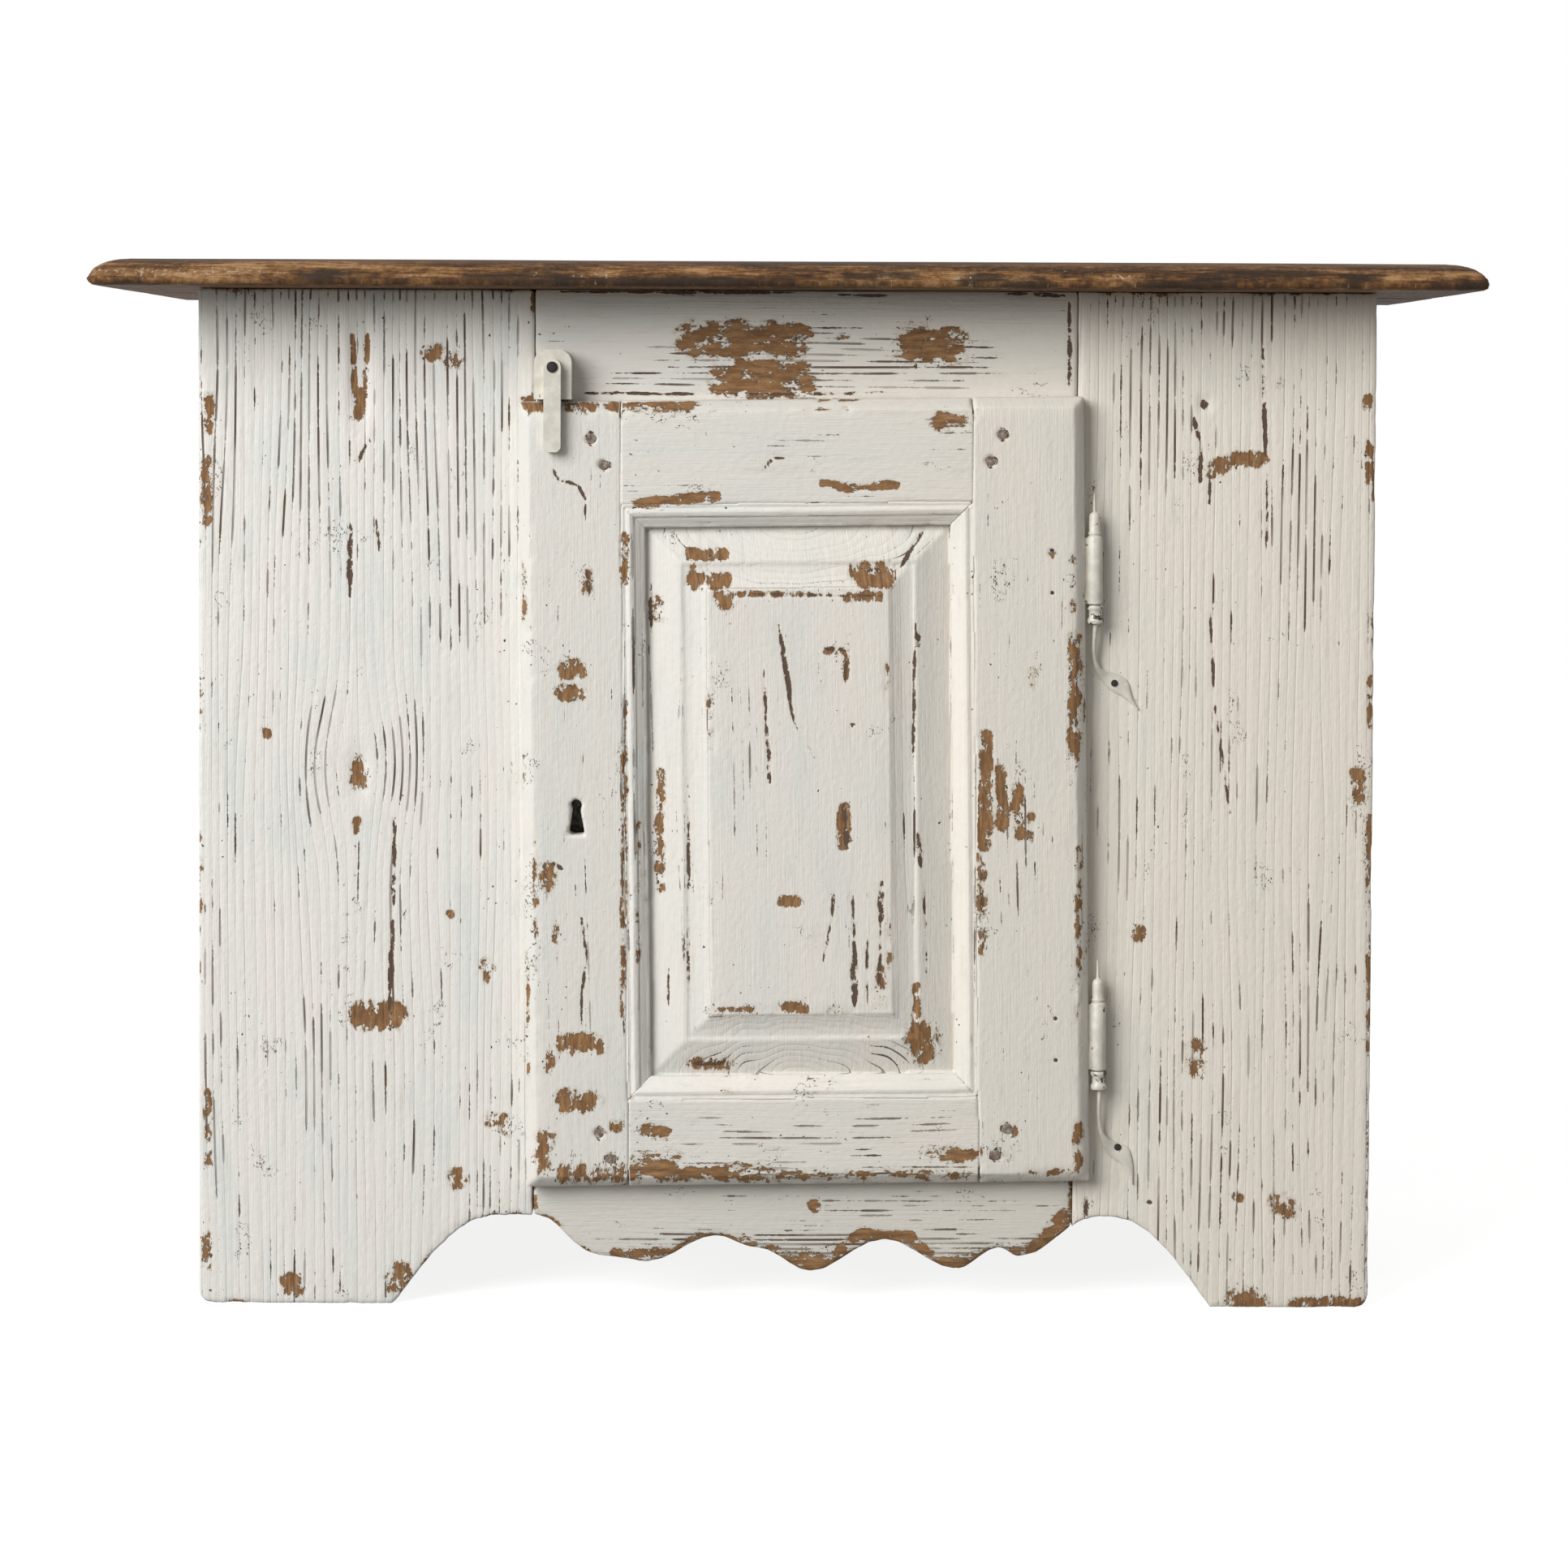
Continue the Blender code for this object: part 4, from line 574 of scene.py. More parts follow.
def painted_wood(name):
    """White paint that has left the hard grain lines, the edges and the marked patches."""
    g = WoodGraph(name)
    chips_and_highlight, scars_and_shadow, ridges = g.fields("chips_and_highlight", "scars_and_shadow", "ridges")
    number, line = g.ring_lines()
    fine = g.grain(0.0013, 0.0028, 41.0, detail=3.0, roughness=0.6)
    ragged = g.grain(0.0085, 0.0150, 7.0, detail=6.0, roughness=0.68)
    combed = g.grain(0.0026, 0.0220, 61.0, detail=4.0, roughness=0.6)
    rough = g.total(-2.5, (ragged, 5.2), (combed, 0.8), (fine, 0.9))
    chip_value, scar_and_shadow_value = g.times(chips_and_highlight, rough), g.times(scars_and_shadow, rough)
    chip = g.step(chip_value, BARE_FROM, 0.54)
    scar_and_shadow = g.step(scar_and_shadow_value, BARE_FROM, 0.56)
    dark = g.most(cracked(g, number, line, fine, chip_value), scar_and_shadow)
    bare = g.most(dark, chip)

    shown = g.step(g.per_line(number, 5.3, 4.0, 13.0), 0.35, 0.70, 0.1, 1.0)
    relief = g.times(g.times(line, ridges), shown)
    paint = aged_paint(g, relief, chip_value, scar_and_shadow_value)
    fibre = g.grain(0.0035, 0.025, 11.0, detail=6.0, roughness=0.7)
    wood = g.ramp(fibre, (0.30, BARE_DARK), (0.48, BARE_MIDDLE), (0.68, BARE_LIGHT))
    # Painted shade: a dark rim just inside each chip, under the edge of the paint
    wood = g.mix(g.step(chip_value, BARE_FROM, 0.66, 0.75, 0.0), wood, BARE_DARK)
    # The dark of cracks and scarring, which also colours the painted shadow line under the top
    crevice = g.mix(g.step(fine, 0.40, 0.70), CREVICE, BARE_DARK)
    colour = g.mix(dark, g.mix(chip, paint, wood), crevice)

    brush = g.grain(0.0012, 0.04, 31.0, detail=3.0)
    lumps = g.grain(0.004, 0.006, 37.0, detail=3.0)
    g.bump(g.total(0.0, (bare, -0.7), (relief, -0.4), (brush, 0.35), (lumps, 0.5)), distance=0.0008)
    return g.finish(colour, g.step(bare, 0.0, 1.0, 0.52, 0.82))


BARE_GLOSS = 0.25
TOP_DARK = srgb(38, 25, 13)
TOP_BROWN = srgb(70, 45, 22)
TOP_MIDDLE = srgb(114, 78, 42)
TOP_LIGHT = srgb(166, 128, 86)
TOP_FLECK = srgb(196, 172, 146)


def top_wood(name):
    """Old bare boards: long grain above, bands and scuffs on the worn nose, painted highlight high and painted
    shade low on it, end grain at the ends.
    """
    g = WoodGraph(name)
    chips_and_highlight, streaks, upper, ends = g.fields("chips_and_highlight", "streaks", "upper", "ends")
    sides = g.math("SUBTRACT", 1.0, ends)
    grit = g.noise(g.place(), detail=6.0, roughness=0.7, scale=210.0)
    bands = g.grain(0.012, 0.16, detail=6.0, roughness=0.65)
    fibre = g.grain(0.0016, 0.020, 5.0, detail=5.0, roughness=0.7)
    figure = g.grain(0.022, 0.70, 3.0, detail=5.0, roughness=0.6)
    threads = g.grain(0.0012, 0.10, 8.0, detail=4.0, roughness=0.6)
    # The scuffs lighten the nose; along its upper band this is painted highlight as well as wear
    value = g.total(-0.30, (bands, 0.85), (fibre, 0.45), (chips_and_highlight, 0.14), (grit, 0.30))
    value = g.blend(upper, value, g.total(0.02, (figure, 0.55), (threads, 0.40)))
    value = g.blend(ends, value, g.total(0.20, (grit, 0.55)))
    wood = g.ramp(value, (0.40, TOP_DARK), (0.48, TOP_BROWN), (0.56, TOP_MIDDLE), (0.66, TOP_LIGHT))

    stain = g.grain(0.009, 0.06, 13.0, detail=6.0, roughness=0.7)
    # Stains darken the sides; along the nose's lower edge this dark is painted shade
    stained_and_shaded = g.step(g.total(stain, (streaks, 0.34)), 0.60, 0.80, 0.0, 0.9)
    wood = g.mix(g.times(stained_and_shaded, sides), wood, TOP_DARK)
    line = g.ring_lines()[1]
    gaps = g.grain(0.006, 0.07, 19.0, detail=3.0)
    crack = g.times(g.step(g.total(gaps, (line, 0.4)), 0.98, 1.03), sides)
    wood = g.mix(g.times(crack, 0.85), wood, TOP_DARK)
    specks = g.grain(0.0020, 0.0035, 29.0, detail=5.0, roughness=0.7)
    fleck = g.step(g.total(specks, (chips_and_highlight, 0.16)), 0.66, 0.74, 0.0, 0.8)
    wood = g.mix(fleck, wood, TOP_FLECK)

    relief = g.times(g.total(0.0, (fibre, 0.9), (bands, 0.8)), sides)
    relief = g.blend(upper, relief, g.times(threads, 0.8))
    g.bump(g.total(relief, (grit, 0.6), (crack, -1.0), (fleck, 0.3)), distance=0.0008)
    g.put(g.shader.inputs["Specular IOR Level"], BARE_GLOSS)
    return g.finish(wood, g.step(fibre, 0.3, 0.7, 0.74, 0.56))


RAW_DARK = srgb(96, 72, 50)
RAW_MIDDLE = srgb(146, 116, 84)
RAW_LIGHT = srgb(178, 150, 116)


def raw_wood(name):
    """Unpainted pine, greyed and browned by age."""
    g = WoodGraph(name, across="ring")
    chips_and_highlight = g.attribute("chips_and_highlight")
    line = g.ring_lines()[1]
    fibre = g.grain(0.0016, 0.06, detail=4.0, roughness=0.6)
    bands = g.grain(0.02, 0.3, 5.0, detail=4.0)
    value = g.total(0.0, (fibre, 0.55), (bands, 0.5), (line, -0.13), (chips_and_highlight, -0.08))
    wood = g.ramp(value, (0.32, RAW_DARK), (0.48, RAW_MIDDLE), (0.66, RAW_LIGHT))
    stain = g.grain(0.05, 0.12, 9.0, detail=4.0, roughness=0.6)
    wood = g.mix(g.step(stain, 0.54, 0.75, 0.0, 0.5), wood, RAW_DARK)
    g.bump(g.total(0.0, (fibre, 0.6), (line, 0.4)), distance=0.0007)
    return g.finish(wood, g.step(fibre, 0.3, 0.7, 0.82, 0.66))


IRON_DARK = srgb(34, 31, 28)
IRON_LIGHT = srgb(86, 79, 71)
IRON_RUST = srgb(96, 66, 44)
IRON_PAINT = srgb(222, 217, 204)
IRON_PAINT_GREY = srgb(204, 200, 188)


def painted_iron(name, paint_share):
    """Iron under old white paint that has worn off in spots. paint_share is how much paint is left."""
    g = Graph(name)
    place = g.place()
    spots = g.noise(place, detail=5.0, roughness=0.6, scale=110.0)
    fine = g.noise(place, detail=4.0, scale=500.0)
    bare = g.step(g.total(spots, (fine, 0.15)), paint_share, paint_share + 0.03)
    iron = g.mix(g.step(fine, 0.35, 0.65), IRON_DARK, IRON_LIGHT)
    iron = g.mix(g.step(spots, 0.55, 0.75, 0.0, 0.6), iron, IRON_RUST)
    paint = g.mix(g.step(spots, 0.35, 0.65), IRON_PAINT_GREY, IRON_PAINT)
    g.bump(g.total(0.0, (bare, -0.6), (spots, 0.4)), distance=0.0003)
    g.put(g.shader.inputs["Metallic"], g.times(bare, 0.7))
    return g.finish(g.mix(bare, paint, iron), g.step(bare, 0.0, 1.0, 0.38, 0.45))


# Near-black colours, on the button's screw painted shade of the pivot's hole
HOLE_SHADE_DARK = srgb(20, 17, 15)
HOLE_SHADE_LIGHT = srgb(44, 38, 33)
HOLE_ROUGHNESS = 0.85


def hole_shade_iron(name):
    """Near-black iron, dark as a hole: on the button's screw it is painted shade for the pivot's hole, and the
    hinge nails' heads wear it as dark iron.
    """
    g = Graph(name)
    return g.finish(g.mix(g.noise(g.place(), scale=600.0), HOLE_SHADE_DARK, HOLE_SHADE_LIGHT), HOLE_ROUGHNESS)


PEG_DARK = srgb(96, 82, 72)
PEG_LIGHT = srgb(138, 124, 110)


def peg_wood(name):
    """End grain of the door's pegs, rubbed grey under thin paint."""
    g = Graph(name)
    spots = g.noise(g.place(), detail=5.0, roughness=0.6, scale=260.0)
    colour = g.ramp(spots, (0.38, PEG_DARK), (0.56, PEG_LIGHT), (0.72, PAINT_GREY))
    g.bump(spots, distance=0.0002)
    return g.finish(colour, g.step(spots, 0.3, 0.7, 0.85, 0.75))


# The boards' materials by slot
COATS = {
    "painted_wood": painted_wood("worn white paint"),
    "top_wood": top_wood("bare top"),
    "raw_wood": raw_wood("raw pine"),
}
IRON = painted_iron("painted iron", paint_share=0.74)
BARE_IRON = painted_iron("dark iron", paint_share=0.0)
COLLAR_IRON = painted_iron("worn collar", paint_share=0.58)
HOLE_SHADE_IRON = hole_shade_iron("pivot")
PEGS = peg_wood("peg wood")


@dataclass
class Grain:
    """How a board was sawn from its tree.

    axes names the board's axes along, across and through the fibres. pith is how far the tree's centre
    lies across from the board's middle, and depth how far behind its face. slope and lean are how fast that
    depth changes along and through the board, and spread narrows or widens the rings across it. Within
    flat_face of the face the lines run straight. Knots are (x, z) on the front.
    """

    axes: str
    seed: int
    pith: float = -0.55
    depth: float = 0.06
    slope: float = 0.0
    lean: float = 1.0
    spread: float = 1.0
    flat_face: float = 0.0
    knots: tuple = ()


@dataclass
class Wear:
    """How worn a board is.

    edges is how much its edges are worn, and ridges how much its grain stands up. A lower rub_from bares
    more of the edges. The grey share greys the paint: grime, and on the apron also painted shade under the door.
    """

    edges: float = 1.0
    ridges: float = 1.0
    rub_from: float = 0.42
    dirt_and_shade: float = 0.0


KNOT_WIDTH = 0.034
KNOT_LENGTH = 0.055
KNOT_PUSH = 0.72
EDGE_TURN = 0.3
# How the rings wander, slowly and quickly: how far, size of the lumps, and step of the seed
RING_DRIFTS = ((0.010, (0.08, 0.40, 0.08), 0), (0.007, (0.016, 0.18, 0.03), 5))
# How far apart the boards' patterns lie, by seed, in ring, along and across
SEED_SHIFTS = (0.37, 1.91, 2.3)
PACE_LIMITS = (0.12, 2.0)


def door_frame(points):
    """Points in the door's own upright frame, which hangs a little out of true."""
    x, z = points[:, 0] - HINGE_POINT.x, points[:, 2] - HINGE_POINT.z
    cos_hang, sin_hang = math.cos(DOOR_HANG), math.sin(DOOR_HANG)
    own = points.copy()
    own[:, 0] = x * cos_hang + z * sin_hang
    own[:, 2] = z * cos_hang - x * sin_hang
    return own


def ring_field(points, grain):
    """Distance from the tree's centre, and place along and across the fibres, of a board's points."""
    along, across, through = (points[:, "xyz".index(axis)] for axis in grain.axes)
    side = across - (across.min() + across.max()) / 2 - grain.pith
    deep = grain.depth + grain.slope * along + grain.lean * (through - through.min())
    ring = np.sqrt((grain.spread * side) ** 2 + deep ** 2)
    ring = np.where(through < through.min() + grain.flat_face, side, ring)
    place = np.stack([across, along, through], 1)
    for drift, size, step in RING_DRIFTS:
        ring += drift * (smooth_noise(place, size, grain.seed + step) - 0.5)
    for knot_x, knot_z in grain.knots:
        offset_x, offset_z = points[:, 0] - knot_x, points[:, 2] - knot_z
        near = np.exp(-(offset_x / KNOT_WIDTH) ** 2 - (offset_z / KNOT_LENGTH) ** 2)
        ring -= KNOT_PUSH * offset_x * near * np.sign(side)
    fields = (ring, along, across + EDGE_TURN * through)
    return [field + grain.seed * shift for field, shift in zip(fields, SEED_SHIFTS)]


def vectors_in(collection, name):
    flat = np.empty(len(collection) * 3, np.float32)
    collection.foreach_get(name, flat)
    return flat.reshape(-1, 3).astype(float)


def points_of(mesh):
    return vectors_in(mesh.vertices, "co")


def normals_of(mesh):
    return vectors_in(mesh.vertex_normals, "vector")


def move_to(mesh, points):
    mesh.vertices.foreach_set("co", points.astype(np.float32).ravel())


def pace_of(mesh, ring):
    """How fast the rings pass each point of the mesh, along its surface."""
    ends = np.empty(len(mesh.edges) * 2, np.int32)
    mesh.edges.foreach_get("vertices", ends)
    first, second = ends.reshape(-1, 2).T
    points = points_of(mesh)
    length = np.maximum(np.linalg.norm(points[first] - points[second], axis=1), SAME_PLACE)
    change = np.abs(ring[first] - ring[second]) / length
    pace = np.zeros(len(points))
    np.maximum.at(pace, first, change)
    np.maximum.at(pace, second, change)
    return np.clip(pace, *PACE_LIMITS)


def linked(name, mesh):
    made = bpy.data.objects.new(name, mesh)
    bpy.context.scene.collection.objects.link(made)
    return made


# The group of points inside the cabinet, how they face, and the share of their faces that stays
HIDDEN = "hidden"
HIDDEN_FACING = -0.9
HIDDEN_SHARE = 0.08


def modified(mesh, hidden, kind, **settings):
    """The mesh with a modifier applied, which may use the group of hidden points.

    The old mesh is removed.
    """
    holder = linked("holder", mesh)
    if hidden:
        holder.vertex_groups.new(name=HIDDEN).add(hidden, 1.0, "REPLACE")
    modifier = holder.modifiers.new(kind, kind)
    for name, value in settings.items():
        setattr(modifier, name, value)
    bpy.context.view_layer.update()
    made = bpy.data.meshes.new_from_object(holder.evaluated_get(bpy.context.evaluated_depsgraph_get()))
    bpy.data.objects.remove(holder)
    bpy.data.meshes.remove(mesh)
    return made


def remeshed(node, voxel):
    """A copy of a node's solid with even faces of about one voxel."""
    return modified(NODES[node].data.copy(), (), "REMESH", mode="VOXEL", voxel_size=voxel)


def thinned(mesh, face):
    """The mesh with few faces left on the side away from the shown face."""
    hidden = normals_of(mesh) @ np.array(face) < HIDDEN_FACING
    ratio = 1.0 - (1.0 - HIDDEN_SHARE) * float(hidden.mean())
    return modified(mesh, np.flatnonzero(hidden).tolist(), "DECIMATE", vertex_group=HIDDEN, ratio=ratio)


DOOR_SIDES = ("door_stile_left", "door_stile_right", "door_rail_top", "door_rail_bottom")
DOOR_POINTS = door_frame(np.concatenate([points_of(NODES[side].data) for side in DOOR_SIDES]))
DOOR_LOW, DOOR_HIGH = DOOR_POINTS.min(0), DOOR_POINTS.max(0)
LIP_REACH = 0.014
SEAM_FILL = 0.0009
SEAM_FACING = 0.8


def inside_outline(points):
    """How far points lie in from the door's outline."""
    own = door_frame(points)
    inside = np.minimum(own - DOOR_LOW, DOOR_HIGH - own)
    return np.minimum(inside[:, 0], inside[:, 2])


def seam_filled(points, normals):
    """A stile's, rail's or moulding's points with inner sides moved out, as if paint filled the seams."""
    within = inside_outline(points) > LIP_REACH
    sideways = np.abs(normals[:, 1]) < SEAM_FACING
    flat = normals * np.array([1.0, 0.0, 1.0])
    return points + flat * (SEAM_FILL * (within & sideways))[:, None]


SHARP_EDGE = math.radians(25)
EDGE_STEP = 0.002


def edge_distance(node, points):
    """How far each point lies from the node's sharp edges. Seams within the door don't count."""
    shape = bmesh.new()
    shape.from_mesh(NODES[node].data)
    bmesh.ops.remove_doubles(shape, verts=shape.verts, dist=SAME_PLACE)
    places = []
    for edge in shape.edges:
        if len(edge.link_faces) == 2 and edge.calc_face_angle(0.0) > SHARP_EDGE:
            steps = max(1, round(edge.calc_length() / EDGE_STEP))
            places.extend(edge.verts[0].co.lerp(edge.verts[1].co, i / steps) for i in range(steps + 1))
    shape.free()
    if node in DOOR_SIDES:
        outer = inside_outline(np.array(places)) < LIP_REACH
        places = [place for place, kept in zip(places, outer) if kept]
    tree = KDTree(len(places))
    for i, place in enumerate(places):
        tree.insert(place, i)
    tree.balance()
    return np.array([tree.find(point)[2] for point in points])


def settle(piece, node):
    """The piece stands for the node and rides where it rides."""
    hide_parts(node)
    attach(piece, BODY_OF[node])


# Depths of wear, and the sizes of the lumps of its noise
RIDGE_HEIGHT = 0.00011
RIDGE_RUB = (0.4, 1.2)
FIELD_RIDGES = 0.12
CHIP_DEPTH = 0.00035
CHIP_FALL = (0.35, 0.75)
WARP_HEIGHT = 0.0004
WARP_SIZE = (0.12, 0.12, 0.30)
EDGE_REACH = 0.007
EDGE_WEAR_DEPTH = 0.0011
EDGE_LEAST = 0.25
NICK_LEAST = 0.4
NICK_SIZE = (0.009, 0.009, 0.009)
RUB_SIZE = (0.035, 0.035, 0.035)
RUB_SHARE = 0.65
RUB_SPAN = 0.43
EDGE_CHIPS = 0.85
EDGE_STREAKS = 0.25
SCAR_TAPER = 0.7
# Where the paint turns creamy, from left to right
CREAM_REACH = (-0.25, 0.45)
# The facing over which marks, end grain and upper faces set in
FACING = (0.35, 0.75)
UPPER_FACING = (0.93, 0.995)


def board(node, coat, grain, voxel, face=None, marks=Marks(), wear=Wear(), carve=None):
    """A worn board made over a node's solid.

    coat is its slot and material. face is the direction of its shown face, and the far side gets few faces.
    Marks are on the front. carve moves its points to a finer profile first.
    """
    mesh = remeshed(node, voxel)
    if face is not None:
        mesh = thinned(mesh, face)
    if carve is not None:
        carve(mesh)
    points, normals = points_of(mesh), normals_of(mesh)
    if node in DOOR_SIDES or node.startswith("moulding"):
        points = seam_filled(points, normals)
    ring, along, across = ring_field(door_frame(points) if BODY_OF[node] == "door" else points, grain)
    near = np.clip(1.0 - edge_distance(node, points) / EDGE_REACH, 0.0, 1.0)
    rub = smooth_noise(points, RUB_SIZE, grain.seed + 1)
    nick = smooth_noise(points, NICK_SIZE, grain.seed + 2)
    warp = smooth_noise(points, WARP_SIZE, grain.seed + 3) - 0.5
    rubbing = RUB_SHARE * rub + (1.0 - RUB_SHARE) * nick
    rubbed = near * smoothstep(wear.rub_from, wear.rub_from + RUB_SPAN, rubbing)
    x, y, z = points.T
    front = smoothstep(*FACING, -normals[:, 1])
    patches, scars_and_shadow = stroked(x, z, marks.chips_and_highlight) * front, stroked(x, z, marks.scars_and_shadow, SCAR_TAPER) * front
    ridges = np.where(y < y.min() + grain.flat_face, FIELD_RIDGES, wear.ridges)
    fields = {
        "ring": ring,
        "along": along,
        "across": across,
        "pace": pace_of(mesh, ring),
        "chips_and_highlight": np.maximum(patches, EDGE_CHIPS * wear.edges * rubbed),
        "scars_and_shadow": scars_and_shadow,
        "streaks": np.maximum(zoned(x, z, marks.streaks) * front, EDGE_STREAKS * wear.edges * rub ** 2),
        "ridges": ridges,
        "cream": smoothstep(*CREAM_REACH, x),
        "dirt_and_shade": np.full(len(points), wear.dirt_and_shade),
        "upper": smoothstep(*UPPER_FACING, normals[:, 2]),
        "ends": smoothstep(*FACING, np.abs(normals[:, 0])),
    }
    phase = ring / RING_WIDTH * 2.0 * math.pi
    height = -RIDGE_HEIGHT * ridges * np.cos(phase) * (RIDGE_RUB[0] + RIDGE_RUB[1] * rub)
    height -= CHIP_DEPTH * smoothstep(*CHIP_FALL, np.maximum(patches, scars_and_shadow))
    height -= EDGE_WEAR_DEPTH * wear.edges * near * (EDGE_LEAST + rubbed) * (NICK_LEAST + nick)
    height += WARP_HEIGHT * warp * (1.0 - near)
    height -= zoned(x, z, marks.gouges) * front
    move_to(mesh, points + normals * height[:, None])
    for name, values in fields.items():
        mesh.attributes.new(name, "FLOAT", "POINT").data.foreach_set("value", values.astype(np.float32))
    mesh.materials.clear()
    mesh.materials.append(COATS[coat])
    mesh.shade_smooth()
    settle(linked(node + "_worn", mesh), node)


def boards_alike(nodes, coat, first, voxel, **rest):
    """Boards sawn as the first one is, each from its own tree."""
    for number, node in enumerate(nodes):
        board(node, coat, replace(first, seed=first.seed + number), voxel, **rest)


FRONT_VOXEL = 0.0020
# Fine enough to leave the bolt's pocket open
POCKET_VOXEL = 0.0017
DOOR_VOXEL = 0.0019
PANEL_VOXEL = 0.0016
MOULDING_VOXEL = 0.0013
TOP_VOXEL = 0.0045
SIDE_VOXEL = 0.0060
INSIDE_VOXEL = 0.0090

# A knot in the left plank, in the photograph's pixels
KNOT_PIXEL = (440, 945)
FRONT_GRAINS = {
    "front_plank_left": Grain("zxy", 1, knots=(seen_at(*KNOT_PIXEL, FRONT_Y),)),
    "front_plank_right": Grain("zxy", 2, pith=-0.50),
    "front_top_rail": Grain("xzy", 3, pith=-0.20, slope=0.03, spread=1.5),
    "front_apron": Grain("xzy", 4, pith=0.16, slope=0.02, spread=1.9),
}
# The apron's grey share is grime and also painted shade under the door
FRONT_WEAR = {
    "front_top_rail": Wear(ridges=0.3, dirt_and_shade=0.2),
    "front_apron": Wear(ridges=0.3, rub_from=0.12, dirt_and_shade=0.6),
}
DOOR_GRAINS = {
    "door_stile_left": Grain("zxy", 5, pith=-0.3),
    "door_stile_right": Grain("zxy", 6, pith=0.25, slope=0.02),
    "door_rail_top": Grain("xzy", 7, pith=-0.15, slope=0.02, spread=1.5),
    "door_rail_bottom": Grain("xzy", 8, pith=0.12, slope=0.02, spread=1.5),
}
DOOR_WEAR = Wear(ridges=0.15, dirt_and_shade=0.25)
PANEL_GRAIN = Grain("zxy", 9, pith=0.0, depth=0.070, lean=-5.0, spread=0.6, flat_face=0.0008)
PANEL_WEAR = Wear(edges=0.8, ridges=0.7, dirt_and_shade=0.15)
MOULDING_WEAR = Wear(edges=0.5, ridges=0.1)
# The mouldings in pairs that run the same way
UPRIGHT_SIDES = ("left", "right")
LEVEL_SIDES = ("top", "bottom")
UPRIGHT_MOULDING = Grain("zxy", 10, pith=0.3)
LEVEL_MOULDING = Grain("xzy", 12, pith=0.3)
TOP_GRAIN = Grain("xyz", 20, pith=0.03, depth=0.04, slope=0.03, lean=-1.5)
TOP_WEAR = Wear(edges=1.4, ridges=0.3)
LEFT_GRAIN = Grain("zyx", 30, pith=0.04, depth=0.03, slope=0.04)
RIGHT_GRAIN = replace(LEFT_GRAIN, seed=32)
BACK_GRAIN = Grain("zxy", 34, pith=0.02, depth=0.02, slope=0.04)
SHELF_GRAIN = Grain("xyz", 40, pith=0.03, depth=0.03, slope=0.03)
CLEAT_GRAIN = Grain("yzx", 44, pith=0.1)


def front_boards():
    marks = marks_on(FRONT_Y, CARCASS_CHIPS, CARCASS_SCARS_AND_SHADOW, CARCASS_STREAKS, CARCASS_GOUGES)
    for node, grain in FRONT_GRAINS.items():
        voxel = POCKET_VOXEL if node == "front_plank_left" else FRONT_VOXEL
        board(node, "painted_wood", grain, voxel, FRONT, marks, FRONT_WEAR.get(node, Wear()))


# Profiles across the panel and the mouldings: distance in from the outer edge, and height, in metres
PANEL_PROFILE = (
    (0.0, 0.0), (0.0262, 0.0082), (0.0276, 0.0088), (0.0292, 0.0084), (0.0306, 0.0078), (0.0360, 0.0087),
    (0.0410, 0.0102), (0.0450, 0.0119), (0.0482, 0.0138), (0.0488, 0.0140), (0.0510, 0.0140),
)
MOULDING_PROFILE = (
    (0.0, 0.0090), (0.0012, 0.0092), (0.0022, 0.0076), (0.0036, 0.0086), (0.0060, 0.0090),
    (0.0082, 0.0080), (0.0094, 0.0060), (0.0106, 0.0060), (0.0130, 0.0046), (0.0160, 0.0024),
    (0.0170, 0.0020),
)
FIELD_PROUD = 0.0015
CARVED_FACING = -0.3


def moulding_edges(outer):
    """The left, right, bottom and top edges round the mouldings, or inside them, in the door's frame."""
    sides = UPRIGHT_SIDES + LEVEL_SIDES
    left, right, top, bottom = (door_frame(points_of(NODES["moulding_" + side].data)) for side in sides)
    low, high = (np.min, np.max) if outer else (np.max, np.min)
    return low(left[:, 0]), high(right[:, 0]), low(bottom[:, 2]), high(top[:, 2])


def carver(profile, top_y, outer):
    """A function that moves a mesh's front to a profile that runs in from the mouldings' edges."""
    left, right, bottom, top = moulding_edges(outer)
    insets, heights = zip(*profile)

    def carve(mesh):
        points, normals = points_of(mesh), normals_of(mesh)
        x, _, z = door_frame(points).T
        inset = np.minimum.reduce([x - left, right - x, z - bottom, top - z])
        shown = (inset > 0.0) & (normals[:, 1] < CARVED_FACING)
        points[shown, 1] = top_y + max(heights) - np.interp(inset[shown], insets, heights)
        move_to(mesh, points)
        mesh.update()

    return carve


# Paint lost round each peg: half its height, half its width, strength
PEG_RIM_RISE = 0.0040
PEG_RIM_HALF = 0.0050
PEG_RIM_STRENGTH = 0.95


def peg_rims():
    """Strokes round the pegs, a little taller than wide."""
    rims = []
    for name in NODES:
        if name.startswith("door_peg"):
            middle = sum(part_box(name), Vector()) / 2
            ends = [(middle.x, middle.z + rise) for rise in (-PEG_RIM_RISE, PEG_RIM_RISE)]
            rims.append((*ends, PEG_RIM_HALF, PEG_RIM_STRENGTH))
    return rims


